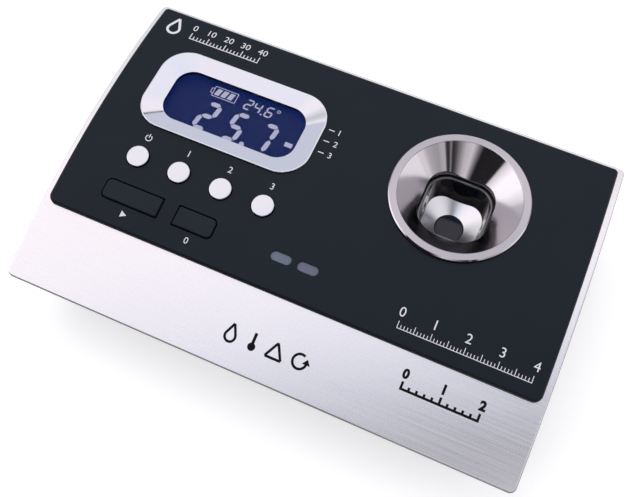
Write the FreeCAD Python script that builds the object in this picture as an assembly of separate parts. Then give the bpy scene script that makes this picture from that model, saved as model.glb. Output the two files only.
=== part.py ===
import FreeCAD, Part
import math
import os

# Portable bench meter for liquid samples, modelled as the pieces that it comes apart into.
# A thin metal plate, curved like part of a wide drum, lies on a moulded case whose walls lean in.
# A raised control panel on the plate carries a display, six keys, two lamps and the sample stage.
# Frame: X to the right, Y to the back, Z up, origin on the table under the middle of the plate.
# All sizes are in millimetres.

# Overall sizes
plate_width = 170.0
plate_depth = 110.0
overall_height = 40.0

# Curved top: plate, panel and case top share one axis, parallel to X
crown_radius = 265.0
rim_proud = 0.6
plate_thickness = 1.5
plate_corner = 2.0
plate_roll = 0.5
panel_thickness = 1.8
panel_side_margin = 2.2
panel_back_margin = 1.9
panel_depth = 82.7
panel_front_corner = 2.8
panel_back_corner = 1.5
panel_roll = 1.0

# Case below the plate
case_wall = 2.6
case_roof = 2.5
case_floor = 2.4
case_corner = 6.0
case_bottom_roll = 2.0
rim_inset = 1.6
bottom_inset_side = 7.0
bottom_inset_front = 11.0
bottom_inset_back = 5.0
parting_height = 16.0
seam_gap = 0.5
gasket_inset = 0.6
gasket_width = 1.4
gasket_depth = 0.8

# Sample stage, on the line where the curved top is highest
stage_side_margin = 46.2
stage_back_margin = 32.8
rim_radius = 22.7
rim_thickness = 1.6
rim_bevel = 0.35
rim_gap = 0.15
cone_top_radius = 20.0
cone_edge = 0.3
cone_depth = 10.0
cone_wall = 1.4
cone_foot_inset = 0.5
neck_inset = 1.7
neck_wall = 1.2
stage_hole_gap = 0.3
seal_thickness = 0.3
seal_width = 0.9
nut_thickness = 2.4
nut_width = 2.8
nut_notch = 3.0
seat_wall = 2.4
seat_lip = 1.0

# Sample well, a rounded square cup under the cone, with a funnel-shaped floor round the prism
well_side = 22.7
well_corner = 7.4
well_wall = 0.9
well_lean = 0.9
well_mouth_gap = 0.35
lip_drop = 10.3
lip_roll = 0.4
floor_rim_drop = 20.9
dish_depth = 3.1
floor_thickness = 1.4
well_flange_width = 1.4
well_flange_thickness = 1.0
well_gasket_thickness = 0.5

# Prism and its holder
prism_radius = 4.6
prism_recess = 0.5
prism_disc = 2.4
prism_height = 4.4
prism_base_width = 5.0
prism_seal_wall = 0.5
holder_length = 18.0
holder_depth = 15.0
fit_gap = 0.1

# Optical block below the stage
block_side_wall = 4.75
block_front_wall = 1.75
arm_height = 11.0
arm_margin = 3.3
light_bore_radius = 3.0
light_bore_rise = 4.0
chamber_length = 16.0
chamber_depth = 11.0
chamber_height = 1.7
cell_window_radius = 2.2
disc_thickness = 0.8
lens_thickness = 2.0
led_length = 6.0
led_radius = 2.5
detector_length = 4.0
light_gap = 1.5
line_sensor_length = 6.5
line_sensor_width = 4.0
line_sensor_offset = 0.5
sensor_board_length = 40.0
sensor_board_depth = 24.0
stage_screw_x = 24.1
stage_screw_y = 11.5
thermistor_radius = 1.2
thermistor_length = 5.0

# Display
display_side_margin = 44.35
bezel_width = 60.9
bezel_depth = 31.7
bezel_corner = 10.0
bezel_proud = 0.35
bezel_lip = 0.4
bezel_edge_roll = 0.25
bezel_gap = 0.1
bezel_seat_gap = 0.05
opening_width = 48.0
opening_depth = 20.3
opening_corner = 6.4
skirt_margin = 2.0
skirt_height = 1.0
window_thickness = 1.0
window_gap = 0.25
glass_width = 54.0
glass_depth = 27.0
glass_thickness = 2.2
glass_ledge = 3.0
mask_margin = 1.0
lcd_frame_wall = 1.9
lcd_frame_lid = 1.0
backlight_thickness = 2.6
display_board_ear = 5.9
display_board_edge = 0.3
board_thickness = 1.6
board_corner = 2.0

# Keys: two rows that share one tilted board, square to the curved top between them
button_radius = 3.61
button_count = 4
button_pitch = 14.9
button_row_offset = 27.7
first_button_offset = 20.95
button_proud = 1.0
button_dome = 0.12
button_edge = 0.25
key_row_pitch = 13.15
key_depth = 7.3
start_key_width = 20.6
start_key_offset = 16.25
zero_key_width = 14.1
key_spacing = 5.0
key_round_corner = 2.0
key_sharp_corner = 0.4
key_proud = 0.5
key_edge = 0.3
key_gap = 0.5
flange_gap = 0.3
flange_thickness = 0.8
flange_width = 0.8
key_travel = 0.4
stem_radius = 1.5
switch_side = 6.0
switch_height = 3.4
plunger_height = 1.6
plunger_radius = 1.6
plunger_gap = 0.1
plunger_foot = 0.3
switch_well_gap = 0.6
key_board_depth = 23.0
key_board_lap = 10.9
key_board_lift = 1.1

# Lamp windows in the lower key row
lamp_width = 6.85
lamp_depth = 3.1
lamp_spacing = 2.2
lamp_offset = 40.55
lamp_recess = 0.45
lamp_gap = 0.05
lamp_flange = 0.7
led_chip_height = 1.2
led_chip_length = 3.2
led_chip_width = 1.6

# Batteries and their door
cell_radius = 7.15
cell_length = 50.0
nub_radius = 2.6
nub_length = 1.0
contact_depth = 3.0
contact_plate = 0.5
contact_side = 10.0
cell_gap = 0.4
cell_edge_roll = 0.2
bay_wall = 1.5
bay_front_margin = 29.2
door_thickness = 2.0
door_gap = 0.3
door_travel = 8.0
door_back_lap = 1.6
tab_length = 6.0
tab_width = 1.2
tab_thickness = 0.7
tab_lift = 0.7
tab_spacing = 20.0
grip_ribs = 5
grip_pitch = 1.8
grip_width = 22.0

# Fasteners, feet and main board
foot_height = 1.5
foot_radius = 5.5
foot_recess = 0.8
foot_roll = 0.4
foot_side_margin = 14.8
foot_front_margin = 20.5
foot_back_margin = 12.5
screw_radius = 1.5
screw_head_radius = 2.7
screw_head_height = 1.8
screw_gap = 0.2
thread_gap = 0.02
screw_bite = 8.0
post_radius = 4.2
small_screw_radius = 1.0
small_head_radius = 1.9
small_head_height = 1.2
small_bite = 3.0
small_post_radius = 2.6
board_screw_inset = 3.5
main_board_left_offset = 20.35
main_board_right_gap = 13.3
main_board_front_gap = 4.4
main_board_back_margin = 12.0
main_board_lift = 4.0
chip_height = 1.6
processor_side = 12.0
memory_side = 6.0
power_part_depth = 4.0
power_part_height = 3.2
capacitor_radius = 2.8
capacitor_height = 10.0
socket_length = 14.0
socket_width = 4.0
socket_height = 2.2
buzzer_radius = 6.0
buzzer_height = 5.0
sound_hole_radius = 1.2
ribbon_thickness = 0.3
ribbon_width = 12.0
ribbon_bow = 2.5

# Places worked out from the sizes above
reach = 200.0
panel_top = overall_height - rim_proud
case_drop = panel_thickness + plate_thickness
roof_drop = case_drop + case_roof
plate_front = -plate_depth / 2
plate_back = plate_depth / 2
panel_width = plate_width - 2 * panel_side_margin
panel_back = plate_back - panel_back_margin
panel_middle_y = panel_back - panel_depth / 2
floor_top = foot_height + case_floor
rim_bottom = overall_height - rim_thickness
stage_x = plate_width / 2 - stage_side_margin
stage_y = plate_back - stage_back_margin
cone_bottom = overall_height - cone_depth
cone_bottom_radius = well_side / 2 - cone_foot_inset
seat_height = cone_bottom - seat_lip
mouth_side = well_side + 2 * well_mouth_gap
mouth_corner = well_corner + well_mouth_gap
seat_radius = (mouth_side / 2 - mouth_corner) * math.sqrt(2) + mouth_corner + seat_wall
neck_radius = rim_radius - neck_inset
nut_radius = neck_radius + nut_width
well_inner_side = well_side - 2 * well_wall
well_inner_corner = well_corner - well_wall
well_flange_side = well_side + 2 * well_flange_width
well_flange_corner = well_corner + well_flange_width
well_flange_top = seat_height - well_gasket_thickness
floor_rim = overall_height - floor_rim_drop
well_foot_side = well_inner_side - 2 * well_lean
well_foot_corner = well_inner_corner - well_lean
well_corner_radius = (well_inner_side / 2 - well_inner_corner) * math.sqrt(2) + well_inner_corner
well_floor = floor_rim - dish_depth
well_bottom = well_floor - floor_thickness
floor_hole_radius = prism_radius + prism_seal_wall
prism_top = well_floor - prism_recess
prism_foot = prism_top - prism_height
light_height = floor_rim + light_bore_rise
block_length = well_flange_side + 2 * block_side_wall
block_depth = well_flange_side + 2 * block_front_wall
block_bottom = prism_foot - chamber_height
arm_length = 2 * (stage_screw_x + arm_margin)
arm_bottom = seat_height - arm_height
display_x = display_side_margin - plate_width / 2
display_y = stage_y
bezel_top = panel_top + bezel_proud
bezel_seat = panel_top - panel_thickness + bezel_seat_gap
skirt_width = opening_width + 2 * skirt_margin
skirt_depth = opening_depth + 2 * skirt_margin
skirt_corner = opening_corner + skirt_margin
window_top = bezel_seat - skirt_height
lcd_frame_top = window_top - window_thickness - window_gap
glass_top = lcd_frame_top - lcd_frame_lid
glass_bottom = glass_top - glass_thickness
lcd_frame_width = glass_width + 2 * (fit_gap + lcd_frame_wall)
lcd_frame_depth = glass_depth + 2 * (fit_gap + lcd_frame_wall)
display_board_width = lcd_frame_width + 2 * display_board_ear
display_board_depth = lcd_frame_depth + 2 * display_board_edge
display_board_top = glass_bottom - backlight_thickness
display_board_bottom = display_board_top - board_thickness
button_row_y = stage_y - button_row_offset
key_row_y = button_row_y - key_row_pitch
key_middle_y = (button_row_y + key_row_y) / 2
key_tilt = math.asin((stage_y - key_middle_y) / crown_radius)
row_v = (button_row_y - key_row_y) / 2 / math.cos(key_tilt)
row_top = math.sqrt(crown_radius ** 2 - row_v ** 2) - crown_radius
flange_top = -panel_thickness - flange_gap
first_button_x = display_x - first_button_offset
button_xs = [first_button_x + i * button_pitch for i in range(button_count)]
start_key_x = display_x - start_key_offset
zero_key_x = start_key_x + (start_key_width + zero_key_width) / 2 + key_spacing
lamp_middle_x = display_x + lamp_offset
lamp_reach = (lamp_width + lamp_spacing) / 2
lamp_xs = [lamp_middle_x - lamp_reach, lamp_middle_x + lamp_reach]
key_board_left = first_button_x - key_board_lap
key_board_right = lamp_xs[1] + key_board_lap
bay_length = 2 * (cell_length + contact_depth)
bay_depth = 4 * cell_radius + 3 * cell_gap
bay_floor = foot_height + door_thickness + door_gap
cell_height = bay_floor + cell_gap + cell_radius
bay_roof = cell_height + cell_radius + cell_gap
bay_middle_y = plate_front + bay_front_margin
bay_back = bay_middle_y + bay_depth / 2 + bay_wall
key_level = panel_top - crown_radius + crown_radius * math.cos(key_tilt)
key_board_rise = (bay_roof + bay_wall + key_board_lift - key_level) / math.cos(key_tilt)
key_board_bottom = key_board_rise + key_board_depth / 2 * math.tan(key_tilt)
key_board_top = key_board_bottom + board_thickness
switch_middle = key_board_top + switch_height / 2
stem_bottom = key_board_top + switch_height + plunger_height
cell_ys = [bay_middle_y - cell_radius - cell_gap / 2, bay_middle_y + cell_radius + cell_gap / 2]
door_half_width = bay_length / 2 + bay_wall - door_gap
door_back = bay_back + door_back_lap
foot_x = plate_width / 2 - foot_side_margin
foot_ys = (plate_front + foot_front_margin, plate_back - foot_back_margin)
feet = [(side * foot_x, y) for side in (-1, 1) for y in foot_ys]
sensor_board_left = stage_x + block_length / 2 - sensor_board_length
main_board_left = display_x - main_board_left_offset
main_board_width = sensor_board_left - main_board_right_gap - main_board_left
main_board_front = bay_back + main_board_front_gap
main_board_depth = plate_back - main_board_back_margin - main_board_front
main_board_middle_x = main_board_left + main_board_width / 2
main_board_middle_y = main_board_front + main_board_depth / 2
main_board_bottom = floor_top + main_board_lift
main_board_top = main_board_bottom + board_thickness
display_ribbon_y = display_y - display_board_depth / 4
key_ribbon_v = key_board_depth / 2 - ribbon_bow


def vec(x, y, z):
    return FreeCAD.Vector(x, y, z)


def box(x0, x1, y0, y1, z0, z1):
    return Part.makeBox(x1 - x0, y1 - y0, z1 - z0, vec(x0, y0, z0))


def block(x, y, length, depth, z0, z1):
    """Box centred on x and y."""
    return box(x - length / 2, x + length / 2, y - depth / 2, y + depth / 2, z0, z1)


def band(z0, z1):
    """Everything between two heights."""
    return box(-reach, reach, -reach, reach, z0, z1)


def rod(radius, z0, z1, x=0.0, y=0.0):
    return Part.makeCylinder(radius, z1 - z0, vec(x, y, z0))


def tube(outer, inner, z0, z1, x=0.0, y=0.0):
    return rod(outer, z0, z1, x, y).cut(rod(inner, z0, z1, x, y))


def rod_along_x(radius, x0, x1, y, z):
    return Part.makeCylinder(radius, x1 - x0, vec(x0, y, z), vec(1, 0, 0))


def rod_along_y(radius, y0, y1, x, z):
    return Part.makeCylinder(radius, y1 - y0, vec(x, y0, z), vec(0, 1, 0))


def joined(first, *others):
    """One solid from touching or crossing shapes."""
    return first.fuse(list(others)).removeSplitter()


def group(shapes):
    return Part.makeCompound(shapes)


def outline(width, depth, radii, x=0.0, y=0.0, z=0.0):
    """Rounded rectangle; radii run front left, front right, back right, back left."""
    arcs = []
    signs = ((-1, -1), (1, -1), (1, 1), (-1, 1))
    for turn, ((sx, sy), radius) in enumerate(zip(signs, radii)):
        middle_x = x + sx * (width / 2 - radius)
        middle_y = y + sy * (depth / 2 - radius)
        angles = [math.pi + (turn + part) * math.pi / 2 for part in (0.0, 0.5, 1.0)]
        arcs.append([vec(middle_x + radius * math.cos(a), middle_y + radius * math.sin(a), z)
                     for a in angles])
    edges = []
    for arc, following in zip(arcs, arcs[1:] + arcs[:1]):
        edges.append(Part.Arc(*arc).toShape())
        edges.append(Part.LineSegment(arc[2], following[0]).toShape())
    return Part.Wire(edges)


def slab(width, depth, radii, z0, z1, x=0.0, y=0.0):
    """Upright prism over a rounded rectangle."""
    return Part.Face(outline(width, depth, radii, x, y, z0)).extrude(vec(0, 0, z1 - z0))


def even_slab(width, depth, radius, z0, z1, x=0.0, y=0.0):
    return slab(width, depth, (radius,) * 4, z0, z1, x, y)


def turned(start, *steps):
    """Solid turned about Z. A step is the next (radius, height), or a pair for an arc."""
    edges = []
    here = vec(start[0], 0, start[1])
    for step in steps + (start,):
        if isinstance(step[0], tuple):
            through, end = (vec(p[0], 0, p[1]) for p in step)
            edges.append(Part.Arc(here, through, end).toShape())
        else:
            end = vec(step[0], 0, step[1])
            edges.append(Part.LineSegment(here, end).toShape())
        here = end
    return Part.Face(Part.Wire(edges)).revolve(vec(0, 0, 0), vec(0, 0, 1), 360)


def dome(radius, low, rise):
    """Turning step from (radius, low) over a ball's cap to the axis, rise higher."""
    ball = (radius ** 2 + rise ** 2) / (2 * rise)
    angle = math.asin(radius / ball) / 2
    middle = low + rise - ball
    return ((ball * math.sin(angle), middle + ball * math.cos(angle)), (0.0, low + rise))


def highest_face(shape):
    return max(shape.Faces, key=lambda face: face.CenterOfMass.z)


def top_edges(shape):
    """Outer edges of the highest face."""
    return highest_face(shape).OuterWire.Edges


def bottom_edges(shape):
    return min(shape.Faces, key=lambda face: face.CenterOfMass.z).OuterWire.Edges


def shifted(shape, x=0.0, y=0.0, z=0.0):
    return shape.translated(vec(x, y, z))


def crown_height(y, drop=0.0):
    """Height of the curved top, or of the surface that lies drop below it, at y."""
    level = math.sqrt((crown_radius - drop) ** 2 - (y - stage_y) ** 2)
    return panel_top - crown_radius + level


def under_crown(drop):
    """Everything below the surface that lies drop under the curved top."""
    ys = (stage_y - reach, stage_y, stage_y + reach)
    left, middle, right = (vec(-reach, y, crown_height(y, drop)) for y in ys)
    low_left = vec(-reach, left.y, -reach)
    low_right = vec(-reach, right.y, -reach)
    edges = [Part.Arc(left, middle, right).toShape()]
    for start, end in ((right, low_right), (low_right, low_left), (low_left, left)):
        edges.append(Part.LineSegment(start, end).toShape())
    return Part.Face(Part.Wire(edges)).extrude(vec(2 * reach, 0, 0))


def crown_layer(top_drop, bottom_drop):
    return under_crown(top_drop).cut(under_crown(bottom_drop))


def on_keys(shape):
    """Moves a shape from the keys' own frame, square to the curved top, to its place."""
    tilt = FreeCAD.Rotation(vec(1, 0, 0), math.degrees(key_tilt))
    place = FreeCAD.Placement(vec(0, key_middle_y, crown_height(key_middle_y)), tilt)
    moved = shape.copy()
    moved.Placement = place.multiply(moved.Placement)
    return moved


def wall_inset(z, bottom_inset, rim_height):
    """How far a leaning case wall lies inside the plate's edge at height z."""
    lean = (bottom_inset - rim_inset) / (rim_height - foot_height)
    return bottom_inset - lean * (z - foot_height)


def case_outline(z, thickness):
    side = wall_inset(z, bottom_inset_side, crown_height(stage_y, case_drop)) + thickness
    front = wall_inset(z, bottom_inset_front, crown_height(plate_front, case_drop)) + thickness
    back = wall_inset(z, bottom_inset_back, crown_height(plate_back, case_drop)) + thickness
    width = plate_width - 2 * side
    depth = plate_depth - front - back
    radius = case_corner - thickness
    return outline(width, depth, (radius,) * 4, 0.0, (front - back) / 2, z)


def case_form(thickness):
    """The case's outer shape, or the shape that lies thickness inside it."""
    low = case_outline(foot_height, thickness)
    high = case_outline(overall_height, thickness)
    return Part.makeLoft([low, high], True, True)


def outer_form():
    form = case_form(0.0)
    return form.makeFillet(case_bottom_roll, bottom_edges(form))


def screw(shank, head, head_height, z_head, z_tip, x, y):
    """Pan head screw; the head's flat lies at z_head and the tip at z_tip."""
    away = math.copysign(1.0, z_head - z_tip)
    low, high = sorted((z_head, z_tip))
    shaft = rod(shank, low, high, x, y)
    low, high = sorted((z_head, z_head + away * head_height))
    cap = rod(head, low, high, x, y)
    slot_end = z_head + away * head_height
    low, high = sorted((slot_end, slot_end - away * head_height / 2))
    cross = block(x, y, head, head / 4, low, high).fuse(block(x, y, head / 4, head, low, high))
    return joined(shaft, cap).cut(cross)


def small_screw(z_head, z_tip, x, y):
    return screw(small_screw_radius, small_head_radius, small_head_height, z_head, z_tip, x, y)


def round_button_hole(x, margin, low):
    return rod(button_radius + margin, low, button_proud, x, row_v)


def key_hole(x, width, radii, margin, low):
    grown = [radius + margin for radius in radii]
    return slab(width + 2 * margin, key_depth + 2 * margin, grown, low, key_proud, x, -row_v)


def key_corners():
    """The pair of keys is rounded at its outer ends only."""
    start = (key_round_corner, key_sharp_corner, key_sharp_corner, key_round_corner)
    zero = (key_sharp_corner, key_round_corner, key_round_corner, key_sharp_corner)
    return ((start_key_x, start_key_width, start), (zero_key_x, zero_key_width, zero))


def lamp_hole(x, margin, low, high):
    radius = lamp_depth / 2 + margin - lamp_gap
    return even_slab(lamp_width + 2 * margin, lamp_depth + 2 * margin, radius, low, high, x, -row_v)


def key_openings(button_margin, key_margin, lamp_margin, low):
    """All the holes that a layer has over the key board, in their place."""
    holes = [round_button_hole(x, button_margin, low) for x in button_xs]
    holes += [key_hole(x, width, radii, key_margin, low) for x, width, radii in key_corners()]
    holes += [lamp_hole(x, lamp_margin, low, button_proud) for x in lamp_xs]
    return on_keys(group(holes))


def display_opening(width, depth, radius, z0, z1):
    return even_slab(width, depth, radius, z0, z1, display_x, display_y)


def display_screw_points():
    half_x = display_board_width / 2 - board_screw_inset
    half_y = display_board_depth / 2 - board_screw_inset
    return [(display_x + sx * half_x, display_y + sy * half_y) for sx in (-1, 1) for sy in (-1, 1)]


def key_screw_points():
    """Screw places on the key board, in the keys' own frame."""
    half_v = key_board_depth / 2 - board_screw_inset
    lefts = (key_board_left + board_screw_inset, key_board_right - board_screw_inset)
    return [(x, side * half_v) for x in lefts for side in (-1, 1)]


def stage_screw_points():
    return [(stage_x + sx * stage_screw_x, stage_y + sy * stage_screw_y)
            for sx in (-1, 1) for sy in (-1, 1)]


def main_screw_points():
    xs = (main_board_left + board_screw_inset,
          main_board_left + main_board_width - board_screw_inset)
    ys = (main_board_front + board_screw_inset,
          main_board_front + main_board_depth - board_screw_inset)
    return [(x, y) for x in xs for y in ys]


def sensor_screw_points():
    half_y = sensor_board_depth / 2 - board_screw_inset
    half_x = block_length / 2 - board_screw_inset
    return [(stage_x + half_x, stage_y - half_y), (stage_x - half_x, stage_y + half_y)]


# Plate and panel

def make_top_plate():
    sheet = even_slab(plate_width, plate_depth, plate_corner, foot_height, overall_height)
    sheet = sheet.common(crown_layer(panel_thickness, case_drop))
    sheet = sheet.makeFillet(plate_roll, top_edges(sheet))
    stage_hole = rod(neck_radius + stage_hole_gap, seat_height, overall_height, stage_x, stage_y)
    margin = bezel_gap + fit_gap
    display_hole = display_opening(skirt_width + 2 * margin, skirt_depth + 2 * margin,
                                   skirt_corner + margin, seat_height, overall_height)
    flange = flange_width + flange_gap
    keys = key_openings(flange, flange - key_gap, lamp_flange + flange_gap, -roof_drop - case_roof)
    return sheet.cut([stage_hole, display_hole, keys])


def make_control_panel():
    radii = (panel_front_corner,) * 2 + (panel_back_corner,) * 2
    sheet = slab(panel_width, panel_depth, radii, foot_height, overall_height, 0.0, panel_middle_y)
    sheet = sheet.common(crown_layer(0.0, panel_thickness))
    sheet = sheet.makeFillet(panel_roll, top_edges(sheet))
    recess_floor = rim_bottom - seal_thickness
    recess = rod(rim_radius + rim_gap, recess_floor, overall_height, stage_x, stage_y)
    stage_hole = rod(neck_radius + stage_hole_gap, seat_height, overall_height, stage_x, stage_y)
    display_hole = display_opening(bezel_width + 2 * bezel_gap, bezel_depth + 2 * bezel_gap,
                                   bezel_corner + bezel_gap, seat_height, overall_height)
    keys = key_openings(flange_gap, 0.0, lamp_gap, -2 * panel_thickness)
    return sheet.cut([recess, stage_hole, display_hole, keys])


# Display

def make_display_bezel():
    body = display_opening(bezel_width, bezel_depth, bezel_corner, bezel_seat, bezel_top)
    body = body.makeFillet(bezel_edge_roll, top_edges(body))
    skirt = display_opening(skirt_width, skirt_depth, skirt_corner, window_top, bezel_seat)
    mouth = outline(bezel_width - 2 * bezel_lip, bezel_depth - 2 * bezel_lip,
                    (bezel_corner - bezel_lip,) * 4, display_x, display_y, bezel_top)
    throat = outline(opening_width, opening_depth, (opening_corner,) * 4,
                     display_x, display_y, bezel_seat)
    slope = Part.makeLoft([throat, mouth], True, True)
    hole = display_opening(opening_width, opening_depth, opening_corner, window_top, bezel_top)
    return joined(body, skirt).cut([slope, hole])


def make_display_window():
    bottom = window_top - window_thickness
    return display_opening(skirt_width, skirt_depth, skirt_corner, bottom, window_top)


def make_lcd_frame():
    top = lcd_frame_top
    frame = display_opening(lcd_frame_width, lcd_frame_depth, board_corner, display_board_top, top)
    pocket = block(display_x, display_y, glass_width + 2 * fit_gap, glass_depth + 2 * fit_gap,
                   display_board_top, glass_top)
    sight = display_opening(opening_width + 2 * mask_margin, opening_depth + 2 * mask_margin,
                            opening_corner, glass_top, top)
    return frame.cut([pocket, sight])


def make_lcd_glass():
    """Two panes; the front one stops short of the contact ledge at the front edge."""
    middle = (glass_bottom + glass_top) / 2
    rear = block(display_x, display_y, glass_width, glass_depth, glass_bottom, middle)
    front = block(display_x, display_y + glass_ledge / 2, glass_width, glass_depth - glass_ledge,
                  middle, glass_top)
    return joined(rear, front)


def make_backlight():
    return block(display_x, display_y, glass_width, glass_depth, display_board_top, glass_bottom)


def make_display_board():
    board = display_opening(display_board_width, display_board_depth, board_corner,
                            display_board_bottom, display_board_top)
    holes = [rod(small_screw_radius + screw_gap, display_board_bottom, display_board_top, x, y)
             for x, y in display_screw_points()]
    return board.cut(holes)


# Keys

def make_round_button(x):
    """Domed cap with a hidden flange that stops it under the panel, and its stem."""
    top = row_top + button_proud
    rise = top - button_dome
    inner = button_radius - button_edge
    flange_radius = button_radius + flange_width
    flange_bottom = flange_top - flange_thickness
    corner = button_edge * (1 - math.sqrt(0.5))
    cap = turned((0.0, stem_bottom), (stem_radius, stem_bottom), (stem_radius, flange_bottom),
                 (flange_radius, flange_bottom), (flange_radius, flange_top),
                 (button_radius, flange_top), (button_radius, rise - button_edge),
                 ((button_radius - corner, rise - corner), (inner, rise)),
                 dome(inner, rise, button_dome))
    return on_keys(shifted(cap, x, row_v))


def make_flat_key(x, width, radii):
    """Flat rectangular cap, its flange and one stem."""
    inner = [max(radius - key_gap, key_edge + fit_gap) for radius in radii]
    wide = [radius + flange_width for radius in inner]
    flange_bottom = flange_top - flange_thickness
    cap_width = width - 2 * key_gap
    cap_depth = key_depth - 2 * key_gap
    cap = slab(cap_width, cap_depth, inner, flange_top, row_top + key_proud, x, -row_v)
    cap = cap.makeFillet(key_edge, top_edges(cap))
    flange = slab(cap_width + 2 * flange_width, cap_depth + 2 * flange_width, wide,
                  flange_bottom, flange_top, x, -row_v)
    stem = rod(stem_radius, stem_bottom, flange_bottom, x, -row_v)
    return on_keys(joined(cap, flange, stem))


def key_points():
    """Middle of each key, round row first, in the keys' own frame."""
    return [(x, row_v) for x in button_xs] + [(start_key_x, -row_v), (zero_key_x, -row_v)]


def make_plunger(x, v):
    """Moving pin of a key's switch, with the foot that keeps it inside."""
    pin = rod(plunger_radius, switch_middle, stem_bottom, x, v)
    foot = rod(plunger_radius + plunger_foot, switch_middle, switch_middle + key_travel, x, v)
    return on_keys(joined(pin, foot))


def make_tact_switches():
    bodies = []
    low = switch_middle - key_travel - flange_gap
    high = switch_middle + key_travel + plunger_gap
    for x, v in key_points():
        shell = block(x, v, switch_side, switch_side, key_board_top, key_board_top + switch_height)
        bore = rod(plunger_radius + plunger_gap, switch_middle, key_board_top + switch_height, x, v)
        well = rod(plunger_radius + switch_well_gap, low, high, x, v)
        bodies.append(shell.cut([bore, well]))
    return on_keys(group(bodies))


def make_key_board():
    width = key_board_right - key_board_left
    middle_x = (key_board_left + key_board_right) / 2
    board = even_slab(width, key_board_depth, board_corner, key_board_bottom, key_board_top,
                      middle_x)
    holes = [rod(small_screw_radius + screw_gap, key_board_bottom, key_board_top, x, v)
             for x, v in key_screw_points()]
    return on_keys(board.cut(holes))


def make_lamp_pipe(x):
    top = row_top - lamp_recess
    low = key_board_top + led_chip_height
    pipe = lamp_hole(x, 0.0, low, top)
    flange = lamp_hole(x, lamp_flange, flange_top - flange_thickness, flange_top)
    return on_keys(joined(pipe, flange))


def make_indicator_leds():
    chips = [block(x, -row_v, led_chip_length, led_chip_width, key_board_top,
                   key_board_top + led_chip_height) for x in lamp_xs]
    return on_keys(group(chips))


# Sample stage

def cone_height(radius):
    """Height of the polished cone at a radius."""
    rise = (radius - cone_bottom_radius) / (cone_top_radius - cone_bottom_radius)
    return cone_bottom + rise * (cone_depth - cone_edge)


def cone_back(radius):
    """Height of the cone's underside at a radius."""
    run = cone_top_radius - cone_bottom_radius
    slope = (cone_depth - cone_edge) / run
    return cone_height(radius) - cone_wall * math.hypot(1.0, slope)


def make_stage_funnel():
    """Flat rim, polished cone, threaded neck and the square seat under the cone."""
    neck_bottom = nut_top() - nut_thickness
    neck_inner = neck_radius - neck_wall
    edge_radius = cone_top_radius + cone_edge
    corner = cone_edge * (1 - math.sqrt(0.5))
    body = turned((cone_bottom_radius, seat_height), (seat_radius, seat_height),
                  (seat_radius, cone_back(seat_radius)),
                  (neck_inner, cone_back(neck_inner)), (neck_inner, neck_bottom),
                  (neck_radius, neck_bottom), (neck_radius, rim_bottom), (rim_radius, rim_bottom),
                  (rim_radius, overall_height - rim_bevel), (rim_radius - rim_bevel, overall_height),
                  (edge_radius, overall_height),
                  ((cone_top_radius + corner, overall_height - corner),
                   (cone_top_radius, overall_height - cone_edge)),
                  (cone_bottom_radius, cone_bottom))
    mouth = even_slab(mouth_side, mouth_side, mouth_corner, seat_height, overall_height)
    return shifted(body.cut(mouth), stage_x, stage_y)


def make_stage_seal():
    outer = rim_radius - seal_width / 2
    return tube(outer, outer - seal_width, rim_bottom - seal_thickness, rim_bottom, stage_x, stage_y)


def nut_top():
    """The nut meets the curved roof at its front and back."""
    return crown_height(stage_y + nut_radius, roof_drop)


def make_stage_nut():
    top = nut_top()
    low = top - nut_thickness
    ring = tube(nut_radius, neck_radius + thread_gap, low, top, stage_x, stage_y)
    notches = []
    for quarter in range(4):
        notch = block(nut_radius, 0.0, nut_width, nut_notch, low, top)
        notch.rotate(vec(0, 0, 0), vec(0, 0, 1), 45 + 90 * quarter)
        notches.append(shifted(notch, stage_x, stage_y))
    return ring.cut(notches)


def square_outline(side, corner, z):
    return outline(side, side, (corner,) * 4, stage_x, stage_y, z)


def square_slab(side, corner, z0, z1):
    return even_slab(side, side, corner, z0, z1, stage_x, stage_y)


def well_hollow(lip):
    """Room in the well: walls that lean in towards a floor turned to a wide funnel."""
    walls = Part.makeLoft([square_outline(well_foot_side, well_foot_corner, well_floor),
                           square_outline(well_inner_side, well_inner_corner, lip)], True, True)
    over_floor = turned((0.0, well_floor), (floor_hole_radius, well_floor),
                        (well_corner_radius, floor_rim), (well_corner_radius, lip), (0.0, lip))
    return walls.common(shifted(over_floor, stage_x, stage_y))


def make_sample_well():
    lip = overall_height - lip_drop
    cup = square_slab(well_side, well_corner, well_bottom, lip)
    flange = square_slab(well_flange_side, well_flange_corner,
                         well_flange_top - well_flange_thickness, well_flange_top)
    body = joined(cup, flange).cut(well_hollow(lip))
    body = body.makeFillet(lip_roll, highest_face(body).Edges)
    hole = rod(floor_hole_radius, well_bottom, well_floor, stage_x, stage_y)
    sight = rod_along_x(cell_window_radius + thread_gap, stage_x - well_side, stage_x + well_side,
                        stage_y, light_height)
    return body.cut([hole, sight])


def make_well_gasket():
    ring = square_slab(well_flange_side, well_flange_corner, well_flange_top, seat_height)
    inner = square_slab(well_side + 2 * fit_gap, well_corner + fit_gap, well_flange_top,
                        seat_height)
    return ring.cut(inner)


def make_cell_windows():
    discs = []
    for side in (-1, 1):
        ends = sorted((stage_x + side * well_side / 2, stage_x + side * well_inner_side / 2))
        discs.append(rod_along_x(cell_window_radius, ends[0], ends[1], stage_y, light_height))
    return group(discs)


def prism_form(margin):
    """Round head on a wedge whose two slopes turn the light; margin grows it for its seat."""
    neck = prism_top - prism_disc
    half = prism_radius + margin
    low = prism_base_width / 2 + margin
    head = rod(half, neck, prism_top)
    corners = [vec(-half, -half, neck), vec(half, -half, neck),
               vec(low, -half, prism_foot), vec(-low, -half, prism_foot)]
    wedge = Part.Face(Part.makePolygon(corners + corners[:1])).extrude(vec(0, 2 * half, 0))
    trimmed = wedge.common(rod(half, prism_foot, neck))
    return shifted(joined(head, trimmed), stage_x, stage_y)


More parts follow.
